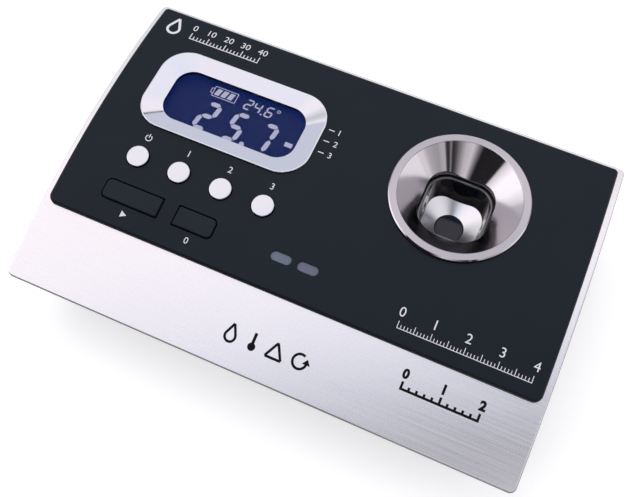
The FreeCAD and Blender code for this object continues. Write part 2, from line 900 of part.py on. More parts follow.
def make_prism_seal():
    return tube(floor_hole_radius, prism_radius + thread_gap, well_bottom, prism_top,
                stage_x, stage_y)


def make_prism_holder():
    bar = block(stage_x, stage_y, holder_length, holder_depth, prism_foot, well_bottom)
    return bar.cut(prism_form(fit_gap / 2))


def make_optical_block():
    """Metal block round the well, with an arm on each side for the light that crosses it."""
    core = block(stage_x, stage_y, block_length, block_depth, block_bottom, seat_height)
    arms = block(stage_x, stage_y, arm_length, block_depth, arm_bottom, seat_height)
    gap = fit_gap / 2
    flange_low = well_flange_top - well_flange_thickness
    pockets = [
        square_slab(well_side + 2 * gap, well_corner + gap, well_bottom, seat_height),
        square_slab(well_flange_side + 2 * gap, well_flange_corner + gap, flange_low, seat_height),
        block(stage_x, stage_y, holder_length + 2 * gap, holder_depth + 2 * gap,
              prism_foot, well_bottom),
        block(stage_x, stage_y, chamber_length, chamber_depth, block_bottom, prism_foot),
        rod_along_x(light_bore_radius, stage_x - arm_length / 2, stage_x + arm_length / 2, stage_y,
                    light_height),
        rod_along_y(thermistor_radius + gap, stage_y, stage_y + block_depth, stage_x,
                    floor_rim + thermistor_radius),
    ]
    pockets += [rod(screw_radius + screw_gap, block_bottom, seat_height, x, y)
                for x, y in stage_screw_points()]
    pockets += [rod(small_screw_radius + thread_gap, block_bottom, block_bottom + small_bite, x, y)
                for x, y in sensor_screw_points()]
    return joined(core, arms).cut(pockets)


def light_disc(side, distance, length, radius):
    """Round piece on the light path that crosses the well, distance outside the well wall."""
    start = stage_x + side * (well_side / 2 + distance)
    end = start + side * length
    return rod_along_x(radius, min(start, end), max(start, end), stage_y, light_height)


def make_polarimeter_led():
    """Round lamp whose dome faces the lens."""
    start = 3 * light_gap + disc_thickness + lens_thickness + led_radius
    body = light_disc(-1, start, led_length - led_radius, led_radius)
    base = light_disc(-1, start + led_length - led_radius, disc_thickness,
                      light_bore_radius - thread_gap)
    ball = Part.makeSphere(led_radius, vec(stage_x - well_side / 2 - start, stage_y,
                                           light_height))
    return joined(body, base, ball)


def make_collimating_lens():
    """Flat on the lamp's side and domed towards the well."""
    radius = light_bore_radius - thread_gap
    edge = lens_thickness / 2
    lens = turned((0.0, 0.0), (radius, 0.0), (radius, edge), dome(radius, edge, edge))
    lens.rotate(vec(0, 0, 0), vec(0, 1, 0), 90)
    x = stage_x - well_side / 2 - 2 * light_gap - disc_thickness - lens_thickness
    return shifted(lens, x, stage_y, light_height)


def make_polarizer():
    return light_disc(-1, light_gap, disc_thickness, light_bore_radius - thread_gap)


def make_analyzer():
    return light_disc(1, light_gap, disc_thickness, light_bore_radius - thread_gap)


def make_photodiode():
    start = 2 * light_gap + disc_thickness
    return light_disc(1, start, detector_length, light_bore_radius - thread_gap)


def make_thermistor():
    start = stage_y + well_side / 2
    return rod_along_y(thermistor_radius, start, start + thermistor_length, stage_x,
                       floor_rim + thermistor_radius)


def make_sensor_board():
    right = sensor_board_left + sensor_board_length
    board = box(sensor_board_left, right, stage_y - sensor_board_depth / 2,
                stage_y + sensor_board_depth / 2, block_bottom - board_thickness, block_bottom)
    holes = [rod(small_screw_radius + screw_gap, block_bottom - board_thickness, block_bottom, x, y)
             for x, y in sensor_screw_points()]
    return board.cut(holes)


def make_line_sensor():
    start = stage_x + line_sensor_offset
    return block(start + line_sensor_length / 2, stage_y, line_sensor_length, line_sensor_width,
                 block_bottom, block_bottom + led_chip_height)


def make_refraction_led():
    x = stage_x - chamber_length / 4
    base = block(x, stage_y, led_chip_length, led_chip_length, block_bottom,
                 block_bottom + led_chip_height / 2)
    lens = rod(led_chip_width / 2, block_bottom, block_bottom + led_chip_height, x, stage_y)
    return joined(base, lens)


# Case

def make_upper_housing():
    upper = band(parting_height + seam_gap, overall_height)
    shell = case_form(0.0).common(upper).common(under_crown(case_drop))
    cavity = case_form(case_wall).common(under_crown(roof_drop))
    shell = shell.cut(cavity)
    bosses = []
    for x, y in feet:
        bosses.append(rod(post_radius, parting_height, overall_height, x, y))
    for x, y in display_screw_points():
        bosses.append(rod(small_post_radius, display_board_top, overall_height, x, y))
    for x, y in stage_screw_points():
        bosses.append(rod(small_post_radius, seat_height, overall_height, x, y))
    roof = under_crown(case_drop)
    shell = joined(shell, *[boss.common(roof) for boss in bosses])
    key_bosses = [rod(small_post_radius, key_board_top, -case_drop, x, v)
                  for x, v in key_screw_points()]
    shell = joined(shell, on_keys(group(key_bosses)).common(roof))
    return shell.cut(upper_housing_holes())


def upper_housing_holes():
    margin = fit_gap
    holes = [
        rod(neck_radius + stage_hole_gap, seat_height, overall_height, stage_x, stage_y),
        display_opening(lcd_frame_width + 2 * margin, lcd_frame_depth + 2 * margin, board_corner,
                        seat_height, overall_height),
    ]
    flange = flange_width + flange_gap
    holes.append(key_openings(flange, flange - key_gap, lamp_gap, -roof_drop - case_roof))
    for x, y in feet:
        holes.append(rod(screw_radius + thread_gap, parting_height, parting_height + screw_bite, x, y))
    for x, y in display_screw_points():
        holes.append(rod(small_screw_radius + thread_gap, display_board_top,
                         display_board_top + small_bite, x, y))
    for x, y in stage_screw_points():
        holes.append(rod(screw_radius + thread_gap, seat_height, seat_height + small_bite, x, y))
    key_bores = [rod(small_screw_radius + thread_gap, key_board_top, key_board_top + small_bite, x, v)
                 for x, v in key_screw_points()]
    holes.append(on_keys(group(key_bores)))
    return holes


def tab_places():
    """Middle of each door tab: side, then y."""
    middle = (plate_front + bottom_inset_front + door_back) / 2 + door_travel / 2
    return [(side, middle + shift * tab_spacing / 2) for side in (-1, 1) for shift in (-1, 1)]


def tab_block(side, y, length, low, high, width):
    """Box on the outer side of the door's edge."""
    xs = sorted((side * (door_half_width - door_gap), side * (door_half_width + width)))
    return box(xs[0], xs[1], y - length / 2, y + length / 2, low, high)


def door_slot():
    """Room in the case floor for the door, its tabs and their way in."""
    top = bay_floor
    width = door_half_width + door_gap
    cuts = [box(-width, width, -reach, door_back + door_gap, 0.0, top)]
    low = foot_height + tab_lift - door_gap
    high = low + tab_thickness + 2 * door_gap
    for side, y in tab_places():
        run = tab_length + door_travel + 2 * door_gap
        cuts.append(tab_block(side, y - door_travel / 2, run, low, high, tab_width + door_gap))
        cuts.append(tab_block(side, y - door_travel, tab_length + 2 * door_gap, 0.0, high,
                              tab_width + door_gap))
    return cuts


def make_base_housing():
    shell = outer_form().common(band(0.0, parting_height))
    shell = shell.cut(case_form(case_wall).common(band(floor_top, overall_height)))
    bay = block(0.0, bay_middle_y, bay_length + 2 * bay_wall, bay_depth + 2 * bay_wall,
                foot_height, bay_roof + bay_wall)
    solids = [bay]
    for x, y in feet:
        solids.append(rod(post_radius, foot_height, parting_height, x, y))
    for x, y in main_screw_points():
        solids.append(rod(small_post_radius, foot_height, main_board_bottom, x, y))
    shell = joined(shell, *solids)
    cuts = [block(0.0, bay_middle_y, bay_length, bay_depth, 0.0, bay_roof)]
    cuts += door_slot()
    recess_top = foot_height + foot_recess
    for x, y in feet:
        cuts.append(rod(foot_radius + fit_gap, 0.0, recess_top, x, y))
        cuts.append(rod(screw_head_radius + screw_gap, recess_top,
                        recess_top + screw_head_height, x, y))
        cuts.append(rod(screw_radius + screw_gap, 0.0, parting_height, x, y))
    for x, y in main_screw_points():
        cuts.append(rod(small_screw_radius + thread_gap, main_board_bottom - small_bite,
                        main_board_bottom, x, y))
    cuts.append(gasket_ring(parting_height - gasket_depth, parting_height, 0.0))
    return shell.cut(cuts)


def gasket_ring(z0, z1, margin):
    outer = case_form(gasket_inset + margin)
    inner = case_form(gasket_inset + gasket_width - margin)
    return outer.cut(inner).common(band(z0, z1))


def make_housing_gasket():
    return gasket_ring(parting_height - gasket_depth, parting_height + seam_gap, thread_gap)


def make_battery_door():
    """Floor panel that slides forward on four tabs, with ribs for the thumb."""
    cover = box(-door_half_width, door_half_width, -reach, door_back, foot_height,
                foot_height + door_thickness)
    door = outer_form().common(cover)
    low = foot_height + tab_lift
    tabs = [tab_block(side, y, tab_length, low, low + tab_thickness, tab_width)
            for side, y in tab_places()]
    grooves = []
    for i in range(grip_ribs):
        y = bay_middle_y + (i - (grip_ribs - 1) / 2) * grip_pitch
        grooves.append(block(0.0, y, grip_width, grip_pitch / 2, 0.0, foot_height + tab_lift))
    return joined(door, *tabs).cut(grooves)


def make_battery_cell(x, y, direction):
    body_length = cell_length - nub_length
    start = -cell_length / 2
    body = rod_along_x(cell_radius, start, start + body_length, 0.0, 0.0)
    body = body.makeFillet(cell_edge_roll, body.Edges[:1])
    nub = rod_along_x(nub_radius, start + body_length, cell_length / 2, 0.0, 0.0)
    cell = joined(body, nub)
    if direction < 0:
        cell.rotate(vec(0, 0, 0), vec(0, 0, 1), 180)
    return shifted(cell, x, y, cell_height)


def make_battery_cells():
    cells = []
    for y, direction in zip(cell_ys, (1, -1)):
        for side in (-1, 1):
            cells.append(make_battery_cell(side * cell_length / 2, y, direction))
    return group(cells)


def make_contact_pad(side, y, sprung):
    """Plate at one end of the bay with a stud for a nub, or a wider sprung cone for a base."""
    wall = side * bay_length / 2
    face = wall - side * contact_plate
    low, high = sorted((wall, face))
    plate = box(low, high, y - contact_side / 2, y + contact_side / 2,
                cell_height - contact_side / 2, cell_height + contact_side / 2)
    bump = contact_depth - contact_plate
    tip = vec(face, y, cell_height)
    inward = vec(-side, 0, 0)
    stud = Part.makeCylinder(nub_radius, bump, tip, inward)
    if sprung:
        stud = Part.makeCone(contact_side / 2 - contact_plate, nub_radius, bump, tip, inward)
    return joined(plate, stud)


def make_battery_contacts():
    """Two pads joined by a strap at the left end, two apart at the right."""
    pads = [make_contact_pad(side, y, side != direction)
            for side in (-1, 1) for y, direction in zip(cell_ys, (1, -1))]
    half = bay_length / 2
    strap = box(-half, -half + contact_plate, cell_ys[0], cell_ys[1],
                cell_height - contact_side / 4, cell_height + contact_side / 4)
    return group([joined(pads[0], pads[1], strap), pads[2], pads[3]])


def make_rubber_feet():
    pads = []
    for x, y in feet:
        pad = rod(foot_radius, 0.0, foot_height + foot_recess, x, y)
        pads.append(pad.makeFillet(foot_roll, bottom_edges(pad)))
    return group(pads)


def make_housing_screws():
    head = foot_height + foot_recess + screw_head_height
    return group([screw(screw_radius, screw_head_radius, screw_head_height, head,
                        parting_height + screw_bite, x, y) for x, y in feet])


def make_stage_screws():
    return group([screw(screw_radius, screw_head_radius, screw_head_height,
                        arm_bottom, seat_height + small_bite, x, y)
                  for x, y in stage_screw_points()])


def make_board_screws():
    screws = [small_screw(display_board_bottom, display_board_top + small_bite, x, y)
              for x, y in display_screw_points()]
    screws += [small_screw(main_board_top, main_board_bottom - small_bite, x, y)
               for x, y in main_screw_points()]
    screws += [small_screw(block_bottom - board_thickness, block_bottom + small_bite, x, y)
               for x, y in sensor_screw_points()]
    screws += [on_keys(small_screw(key_board_bottom, key_board_top + small_bite, x, v))
               for x, v in key_screw_points()]
    return group(screws)


# Electronics

def make_main_board():
    board = even_slab(main_board_width, main_board_depth, board_corner, main_board_bottom,
                      main_board_top, main_board_middle_x, main_board_middle_y)
    holes = [rod(small_screw_radius + screw_gap, main_board_bottom, main_board_top, x, y)
             for x, y in main_screw_points()]
    return board.cut(holes)


def key_ribbon_end():
    """Where the key board's ribbon leaves its underside."""
    return on_keys(Part.Vertex(vec(zero_key_x, key_ribbon_v, key_board_bottom))).Point


def make_board_parts():
    """Processor, memory, power parts and ribbon sockets on the main board."""
    z = main_board_top
    across = main_board_width / 4
    along = main_board_depth / 6
    left = main_board_middle_x - across
    back = main_board_middle_y + along
    front = main_board_middle_y - along
    socket_top = z + socket_height
    key_end = key_ribbon_end()
    right = main_board_left + main_board_width
    return group([
        block(main_board_middle_x, back, processor_side, processor_side, z, z + chip_height),
        block(left, back, memory_side, memory_side, z, z + chip_height),
        block(left, front, processor_side, power_part_depth, z, z + power_part_height),
        rod(capacitor_radius, z, z + capacitor_height, main_board_middle_x + across, front),
        block(display_x, display_ribbon_y, socket_length, socket_width, z, socket_top),
        block(key_end.x, key_end.y, socket_length, socket_width, z, socket_top),
        block(right - socket_width / 2, stage_y, socket_width, socket_length, z, socket_top),
    ])


def make_buzzer():
    x = main_board_left + main_board_width - 2 * buzzer_radius
    y = main_board_front + main_board_depth - 2 * buzzer_radius
    body = rod(buzzer_radius, main_board_top, main_board_top + buzzer_height, x, y)
    sound_hole = rod(sound_hole_radius, main_board_top + chip_height,
                     main_board_top + buzzer_height, x, y)
    return body.cut(sound_hole)


def ribbon(start, middle, end, thickness, width):
    """Flat cable: an arc through three points, given its thickness and width."""
    line = Part.Arc(start, middle, end).toShape()
    return line.extrude(thickness).extrude(width)


def make_display_ribbon():
    low = main_board_top + socket_height
    high = display_board_bottom
    x = display_x - ribbon_width / 2
    y = display_ribbon_y - ribbon_thickness / 2
    return ribbon(vec(x, y, low), vec(x, y + ribbon_bow, (low + high) / 2), vec(x, y, high),
                  vec(0, ribbon_thickness, 0), vec(ribbon_width, 0, 0))


def make_key_ribbon():
    end = key_ribbon_end()
    low = main_board_top + socket_height
    x = end.x - ribbon_width / 2
    y = end.y - ribbon_thickness / 2
    high = end.z - ribbon_thickness / 4
    return ribbon(vec(x, y, low), vec(x, y + ribbon_bow, (low + high) / 2), vec(x, y, high),
                  vec(0, ribbon_thickness, 0), vec(ribbon_width, 0, 0))


def make_sensor_ribbon():
    """From the main board's side socket to the edge of the sensor board."""
    start = vec(main_board_left + main_board_width, stage_y - ribbon_width / 2,
                main_board_top + socket_height / 2)
    end = vec(sensor_board_left, start.y, block_bottom - board_thickness / 2)
    middle = (start + end) / 2 + vec(0, 0, ribbon_bow)
    return ribbon(start, middle, end, vec(0, 0, -ribbon_thickness), vec(0, ribbon_width, 0))


def build_nodes():
    """Every piece by name."""
    nodes = {
        "top_plate": make_top_plate(),
        "control_panel": make_control_panel(),
        "display_bezel": make_display_bezel(),
        "display_window": make_display_window(),
        "lcd_frame": make_lcd_frame(),
        "lcd_glass": make_lcd_glass(),
        "backlight": make_backlight(),
        "display_board": make_display_board(),
        "key_board": make_key_board(),
        "tact_switches": make_tact_switches(),
        "indicator_pipe_left": make_lamp_pipe(lamp_xs[0]),
        "indicator_pipe_right": make_lamp_pipe(lamp_xs[1]),
        "indicator_leds": make_indicator_leds(),
        "stage_funnel": make_stage_funnel(),
        "stage_seal": make_stage_seal(),
        "stage_nut": make_stage_nut(),
        "sample_well": make_sample_well(),
        "well_gasket": make_well_gasket(),
        "cell_windows": make_cell_windows(),
        "prism": prism_form(0.0),
        "prism_seal": make_prism_seal(),
        "prism_holder": make_prism_holder(),
        "optical_block": make_optical_block(),
        "polarimeter_led": make_polarimeter_led(),
        "collimating_lens": make_collimating_lens(),
        "polarizer": make_polarizer(),
        "analyzer": make_analyzer(),
        "photodiode": make_photodiode(),
        "thermistor": make_thermistor(),
        "sensor_board": make_sensor_board(),
        "line_sensor": make_line_sensor(),
        "refraction_led": make_refraction_led(),
        "upper_housing": make_upper_housing(),
        "base_housing": make_base_housing(),
        "housing_gasket": make_housing_gasket(),
        "battery_door": make_battery_door(),
        "battery_cells": make_battery_cells(),
        "battery_contacts": make_battery_contacts(),
        "main_board": make_main_board(),
        "board_parts": make_board_parts(),
        "buzzer": make_buzzer(),
        "display_ribbon": make_display_ribbon(),
        "key_ribbon": make_key_ribbon(),
        "sensor_ribbon": make_sensor_ribbon(),
        "rubber_feet": make_rubber_feet(),
        "housing_screws": make_housing_screws(),
        "stage_screws": make_stage_screws(),
        "board_screws": make_board_screws(),
    }
    key_names = ["power", "mode_1", "mode_2", "mode_3", "start", "zero"]
    for name, x in zip(key_names, button_xs):
        nodes[name + "_button"] = make_round_button(x)
    for name, (x, width, radii) in zip(key_names[button_count:], key_corners()):
        nodes[name + "_key"] = make_flat_key(x, width, radii)
    for name, (x, v) in zip(key_names, key_points()):
        nodes[name + "_plunger"] = make_plunger(x, v)
    return nodes


def main():
    os.makedirs("parts", exist_ok=True)
    for name, shape in build_nodes().items():
        shape.exportStep("parts/" + name + ".step")


main()
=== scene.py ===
import math

import bmesh
import bpy
from mathutils import Matrix, Vector


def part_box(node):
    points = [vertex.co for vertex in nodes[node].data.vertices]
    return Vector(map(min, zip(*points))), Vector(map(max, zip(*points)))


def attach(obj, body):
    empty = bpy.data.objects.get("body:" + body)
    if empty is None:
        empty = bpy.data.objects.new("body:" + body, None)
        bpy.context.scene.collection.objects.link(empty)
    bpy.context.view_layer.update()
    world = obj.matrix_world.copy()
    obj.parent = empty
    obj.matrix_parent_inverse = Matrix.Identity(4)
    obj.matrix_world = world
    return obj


# A portable bench meter in a plain white studio.
# Lengths are in metres; mm turns millimetres into them.
mm = 0.001

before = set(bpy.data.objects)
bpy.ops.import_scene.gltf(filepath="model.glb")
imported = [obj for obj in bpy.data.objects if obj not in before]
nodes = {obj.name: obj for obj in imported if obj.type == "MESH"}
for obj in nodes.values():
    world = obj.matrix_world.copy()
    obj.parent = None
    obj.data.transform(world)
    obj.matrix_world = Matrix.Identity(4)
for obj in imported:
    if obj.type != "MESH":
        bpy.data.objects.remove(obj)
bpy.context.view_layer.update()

# Sizes that the frame's boxes don't give
crown_radius = 265 * mm
panel_thickness = 1.8 * mm
# Below these depths from the top, the display frame and the round keys get a painted shade of
# black
frame_unshaded_depth = 2.1 * mm
button_unshaded_depth = 1.2 * mm
print_lift = 0.02 * mm
print_thickness = 0.02 * mm
segment_lift = 0.03 * mm

# Camera, as fitted to the outline of the plate, the panel, the keys and the rim
camera_place = Vector((45.3, -105.1, 262.9)) * mm
camera_right = Vector((0.91550, 0.40233, 0.00161))
camera_up = Vector((-0.36728, 0.83410, 0.41157))
camera_lens = 45.44
sensor_width = 36.0

# Colours, linear
panel_black = (0.0108, 0.0150, 0.0220)
key_black = (0.0135, 0.0185, 0.0260)
case_black = (0.0200, 0.0210, 0.0240)
# Black of the painted shade low down on the chrome frame and keys
painted_shade_black = (0.006, 0.006, 0.007)
plate_metal = (0.970, 0.955, 0.975)
chrome_tint = (0.825, 0.835, 0.900)
button_tint = (0.79, 0.82, 0.88)
cone_steel = (0.60, 0.575, 0.60)
rim_steel = (0.585, 0.570, 0.610)
# The well: its walls and lip are painted dark, a painted shade, and its floor painted bright, a
# painted reflection of the light above
well_shaded_steel = (0.16, 0.155, 0.16)
well_floor_reflection = (0.95, 0.94, 0.97)
lcd_navy = (0.0040, 0.0125, 0.0850)
segment_pale = (0.40, 0.41, 0.55)
print_white = (0.80, 0.80, 0.84)
print_black = (0.004, 0.004, 0.005)
lamp_blue = (0.124, 0.161, 0.214)
lamp_violet = (0.130, 0.138, 0.205)
prism_dark = (0.014, 0.020, 0.034)
rubber_black = (0.022, 0.022, 0.023)
foot_black = (0.030, 0.030, 0.032)
plain_white = (1.0, 1.0, 1.0)


# Places

def middle(node):
    low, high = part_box(node)
    return (low + high) / 2


panel_low, panel_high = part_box("control_panel")
stage_middle = middle("stage_funnel")
display_middle = middle("display_bezel")
glass_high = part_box("lcd_glass")[1]
display_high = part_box("display_bezel")[1]
button_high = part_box("power_button")[1]
well_middle = middle("sample_well").z
# Heights under which the display frame and the round keys are painted black, a painted shade
frame_shade_top = display_high.z - frame_unshaded_depth
button_shade_top = button_high.z - button_unshaded_depth


def crown_height(y, drop=0.0):
    """Height of the curved top at y, or of the surface that lies drop below it."""
    level = math.sqrt((crown_radius - drop) ** 2 - (y - stage_middle.y) ** 2)
    return panel_high.z - crown_radius + level


def panel_surface(x, y):
    return Vector((x, y, crown_height(y) + print_lift))


def plate_surface(x, y):
    return Vector((x, y, crown_height(y, panel_thickness) + print_lift))


def lcd_surface(x, y):
    return Vector((x, y, glass_high.z + segment_lift))


# Node helpers

def new_material(name):
    material = bpy.data.materials.new(name)
    material.use_nodes = True
    tree = material.node_tree
    tree.nodes.clear()
    shader = tree.nodes.new("ShaderNodeBsdfPrincipled")
    output = tree.nodes.new("ShaderNodeOutputMaterial")
    tree.links.new(shader.outputs["BSDF"], output.inputs["Surface"])
    return material, tree, shader


def object_point(tree, scale=(1.0, 1.0, 1.0)):
    """Object coordinates, in metres, stretched by scale."""
    place = tree.nodes.new("ShaderNodeTexCoord")
    mapping = tree.nodes.new("ShaderNodeMapping")
    mapping.inputs["Scale"].default_value = scale
    tree.links.new(place.outputs["Object"], mapping.inputs["Vector"])
    return mapping.outputs["Vector"]


def noise(tree, point, scale, detail=3.0, roughness=0.55):
    made = tree.nodes.new("ShaderNodeTexNoise")
    tree.links.new(point, made.inputs["Vector"])
    made.inputs["Scale"].default_value = scale
    made.inputs["Detail"].default_value = detail
    made.inputs["Roughness"].default_value = roughness
    return made.outputs["Fac"]


def remap(tree, value, low, high, to_low, to_high):
    made = tree.nodes.new("ShaderNodeMapRange")
    tree.links.new(value, made.inputs["Value"])
    limits = (("From Min", low), ("From Max", high), ("To Min", to_low), ("To Max", to_high))
    for name, number in limits:
        made.inputs[name].default_value = number
    return made.outputs["Result"]


def mix_colours(tree, factor, first, second):
    made = tree.nodes.new("ShaderNodeMix")
    made.data_type = "RGBA"
    tree.links.new(factor, made.inputs["Factor"])
    for socket, value in ((made.inputs[6], first), (made.inputs[7], second)):
        if isinstance(value, bpy.types.NodeSocket):
            tree.links.new(value, socket)
        else:
            socket.default_value = (*value, 1.0)
    return made.outputs[2]


def add_bump(tree, shader, height, strength, distance):
    made = tree.nodes.new("ShaderNodeBump")
    made.inputs["Strength"].default_value = strength
    made.inputs["Distance"].default_value = distance
    tree.links.new(height, made.inputs["Height"])
    tree.links.new(made.outputs["Normal"], shader.inputs["Normal"])


def shade(colour, factor):
    return tuple(channel * factor for channel in colour)


def set_colour(shader, colour):
    shader.inputs["Base Color"].default_value = (*colour, 1.0)


def paint(tree, shader, factor, first, second):
    """Gives the shader a base colour between two colours."""
    tree.links.new(mix_colours(tree, factor, first, second), shader.inputs["Base Color"])


def vary_roughness(tree, shader, value, low, high):
    """Roughness from low to high over the middle of a noise."""
    tree.links.new(remap(tree, value, 0.3, 0.7, low, high), shader.inputs["Roughness"])


def upward(tree, low, high):
    """None on steep faces and one on flat ones, by the height of the face's normal."""
    geometry = tree.nodes.new("ShaderNodeNewGeometry")
    parts = tree.nodes.new("ShaderNodeSeparateXYZ")
    tree.links.new(geometry.outputs["True Normal"], parts.inputs[0])
    return remap(tree, parts.outputs["Z"], low, high, 0.0, 1.0)


def above(tree, height, fade=0.1 * mm):
    """One on what lies above a height, none below it."""
    parts = tree.nodes.new("ShaderNodeSeparateXYZ")
    tree.links.new(object_point(tree), parts.inputs[0])
    return remap(tree, parts.outputs["Z"], height - fade, height, 0.0, 1.0)


# Materials

def moulded_plastic(name, colour, rough=0.42, grain=0.25 * mm, depth=0.006 * mm, gloss=0.12,
                    side_shade=1.0):
    """Plastic with a fine spark-eroded grain and a faint mottle; its upright faces get a painted
    shade.
    """
    spread = 0.10
    material, tree, shader = new_material(name)
    shader.inputs["Specular IOR Level"].default_value = gloss
    point = object_point(tree)
    patches = noise(tree, point, 1 / (18 * mm), 2.0)
    tint = mix_colours(tree, patches, shade(colour, 1 - spread), shade(colour, 1 + spread))
    # Painted shade: upright faces, such as the sides and the walls of grooves and holes, are
    # darker
    paint(tree, shader, upward(tree, 0.5, 0.9), shade(colour, side_shade), tint)
    fine = noise(tree, point, 1 / grain, 4.0, 0.6)
    vary_roughness(tree, shader, fine, rough - 0.05, rough + 0.06)
    add_bump(tree, shader, fine, 0.6, depth)
    return material


def brushed_metal(name, colour, rough, streak, length, side_shade=1.0, depth=0.0015 * mm):
    """Metal with fine straight brushing along X; its upright sides get a painted shade."""
    spread = 0.07
    material, tree, shader = new_material(name)
    lines = noise(tree, object_point(tree, (1 / length, 1 / streak, 1 / streak)), 1.0, 5.0, 0.7)
    patches = noise(tree, object_point(tree), 1 / (30 * mm), 2.0)
    streaked = mix_colours(tree, remap(tree, lines, 0.3, 0.7, 0.0, 1.0),
                           shade(colour, 1 - spread), shade(colour, 1 + spread))
    tint = mix_colours(tree, remap(tree, patches, 0.3, 0.7, 0.0, 0.25),
                       streaked, shade(colour, 0.95))
    # Painted shade: upright faces, such as the cut sides of a sheet, are darker
    paint(tree, shader, upward(tree, 0.80, 0.92), shade(colour, side_shade), tint)
    shader.inputs["Metallic"].default_value = 1.0
    vary_roughness(tree, shader, lines, rough - 0.07, rough + 0.09)
    add_bump(tree, shader, lines, 0.35, depth)
    return material


def chrome_plate(name, colour, rough, shaded_below):
    """Bright chrome with a faint wipe pattern, and plain black below a height, a painted shade."""
    material, tree, shader = new_material(name)
    patches = noise(tree, object_point(tree), 1 / (6 * mm), 3.0)
    tint = mix_colours(tree, patches, shade(colour, 0.97), colour)
    # Below the height the colour is a painted shade: black and not metallic, on the inner wall of
    # the display's opening and on the lower sides of the round keys
    unshaded = above(tree, shaded_below)
    paint(tree, shader, unshaded, painted_shade_black, tint)
    tree.links.new(unshaded, shader.inputs["Metallic"])
    vary_roughness(tree, shader, patches, rough * 0.7, rough * 1.4)
    return material


def radius_from_stage(tree):
    """Distance from the upright axis of the sample stage."""
    place = tree.nodes.new("ShaderNodeTexCoord")
    centred = tree.nodes.new("ShaderNodeVectorMath")
    centred.operation = "SUBTRACT"
    tree.links.new(place.outputs["Object"], centred.inputs[0])
    centred.inputs[1].default_value = (stage_middle.x, stage_middle.y, 0.0)
    level = tree.nodes.new("ShaderNodeVectorMath")
    level.operation = "MULTIPLY"
    level.inputs[1].default_value = (1.0, 1.0, 0.0)
    tree.links.new(centred.outputs[0], level.inputs[0])
    radius = tree.nodes.new("ShaderNodeVectorMath")
    radius.operation = "LENGTH"
    tree.links.new(level.outputs[0], radius.inputs[0])
    return radius.outputs["Value"]


def turned_steel(name, steep, level, steep_rough, level_rough, steepest, flattest, below=None,
                 stretch=0.0):
    """Lathe-turned steel: one colour and roughness where it is steep and another where it lies
    flat.

    steepest and flattest are the heights of the normal between which the two change. The flat
    colour and roughness are kept to what lies below a height, where one is given, and stretch
    draws the gloss out across the turning marks.
    """
    material, tree, shader = new_material(name)
    rings = tree.nodes.new("ShaderNodeTexNoise")
    rings.noise_dimensions = "1D"
    rings.inputs["Scale"].default_value = 1 / (0.12 * mm)
    rings.inputs["Detail"].default_value = 3.0
    tree.links.new(radius_from_stage(tree), rings.inputs["W"])
    flatness = upward(tree, steepest, flattest)
    if below is not None:
        lower = tree.nodes.new("ShaderNodeMath")
        lower.operation = "SUBTRACT"
        lower.use_clamp = True
        tree.links.new(flatness, lower.inputs[0])
        tree.links.new(above(tree, below), lower.inputs[1])
        flatness = lower.outputs[0]
    rough = remap(tree, flatness, 0.0, 1.0, steep_rough, level_rough)
    tree.links.new(rough, shader.inputs["Roughness"])
    ringed = mix_colours(tree, rings.outputs["Fac"], shade(steep, 0.95), shade(steep, 1.05))
    # Colour by how steep the face is; in the well the dark steep colour is a painted shade and the
    # bright flat one a painted reflection
    paint(tree, shader, flatness, ringed, level)
    shader.inputs["Metallic"].default_value = 1.0
    round_the_axis = tree.nodes.new("ShaderNodeTangent")
    round_the_axis.direction_type = "RADIAL"
    round_the_axis.axis = "Z"
    tree.links.new(round_the_axis.outputs[0], shader.inputs["Tangent"])
    shader.inputs["Anisotropic"].default_value = stretch
    shader.inputs["Anisotropic Rotation"].default_value = 0.25
    add_bump(tree, shader, rings.outputs["Fac"], 0.10, 0.0006 * mm)
    return material


def clear_pane(name, tint, ior):
    """Clear glass or plastic with faint smears."""
    material, tree, shader = new_material(name)
    smears = noise(tree, object_point(tree), 1 / (9 * mm), 3.0)
    paint(tree, shader, smears, shade(tint, 0.97), tint)
    shader.inputs["Roughness"].default_value = 0.0
    shader.inputs["IOR"].default_value = ior
    shader.inputs["Transmission Weight"].default_value = 1.0
    return material


def dark_glass(name, colour):
    """Prism top: polished glass over a dark chamber."""
    material, tree, shader = new_material(name)
    haze = noise(tree, object_point(tree), 1 / (3 * mm), 2.0)
    paint(tree, shader, haze, shade(colour, 0.9), shade(colour, 1.1))
    shader.inputs["Roughness"].default_value = 0.08
    shader.inputs["IOR"].default_value = 1.6
    shader.inputs["Specular IOR Level"].default_value = 0.3
    return material


def lit_panel(name, colour, mottle):
    """Backlit liquid crystal surface, a little uneven as such lights are."""
    material, tree, shader = new_material(name)
    uneven = noise(tree, object_point(tree), 1 / (20 * mm), 2.0)
    grain = noise(tree, object_point(tree), 1 / (0.4 * mm), 2.0)
    tint = mix_colours(tree, uneven, shade(colour, 1 - mottle), shade(colour, 1 + mottle))
    tint = mix_colours(tree, remap(tree, grain, 0.3, 0.7, 0.0, 0.2), tint, shade(colour, 0.8))
    set_colour(shader, shade(colour, 0.1))
    tree.links.new(tint, shader.inputs["Emission Color"])
    shader.inputs["Emission Strength"].default_value = 1.0
    shader.inputs["Roughness"].default_value = 0.3
    shader.inputs["Specular IOR Level"].default_value = 0.05
    return material


def printed_ink(name, colour):
    """Screen-printed ink with a slightly uneven film."""
    material, tree, shader = new_material(name)
    film = noise(tree, object_point(tree), 1 / (0.3 * mm), 3.0)
    paint(tree, shader, film, shade(colour, 0.9), colour)
    shader.inputs["Roughness"].default_value = 0.5
    shader.inputs["Specular IOR Level"].default_value = 0.12
    return material


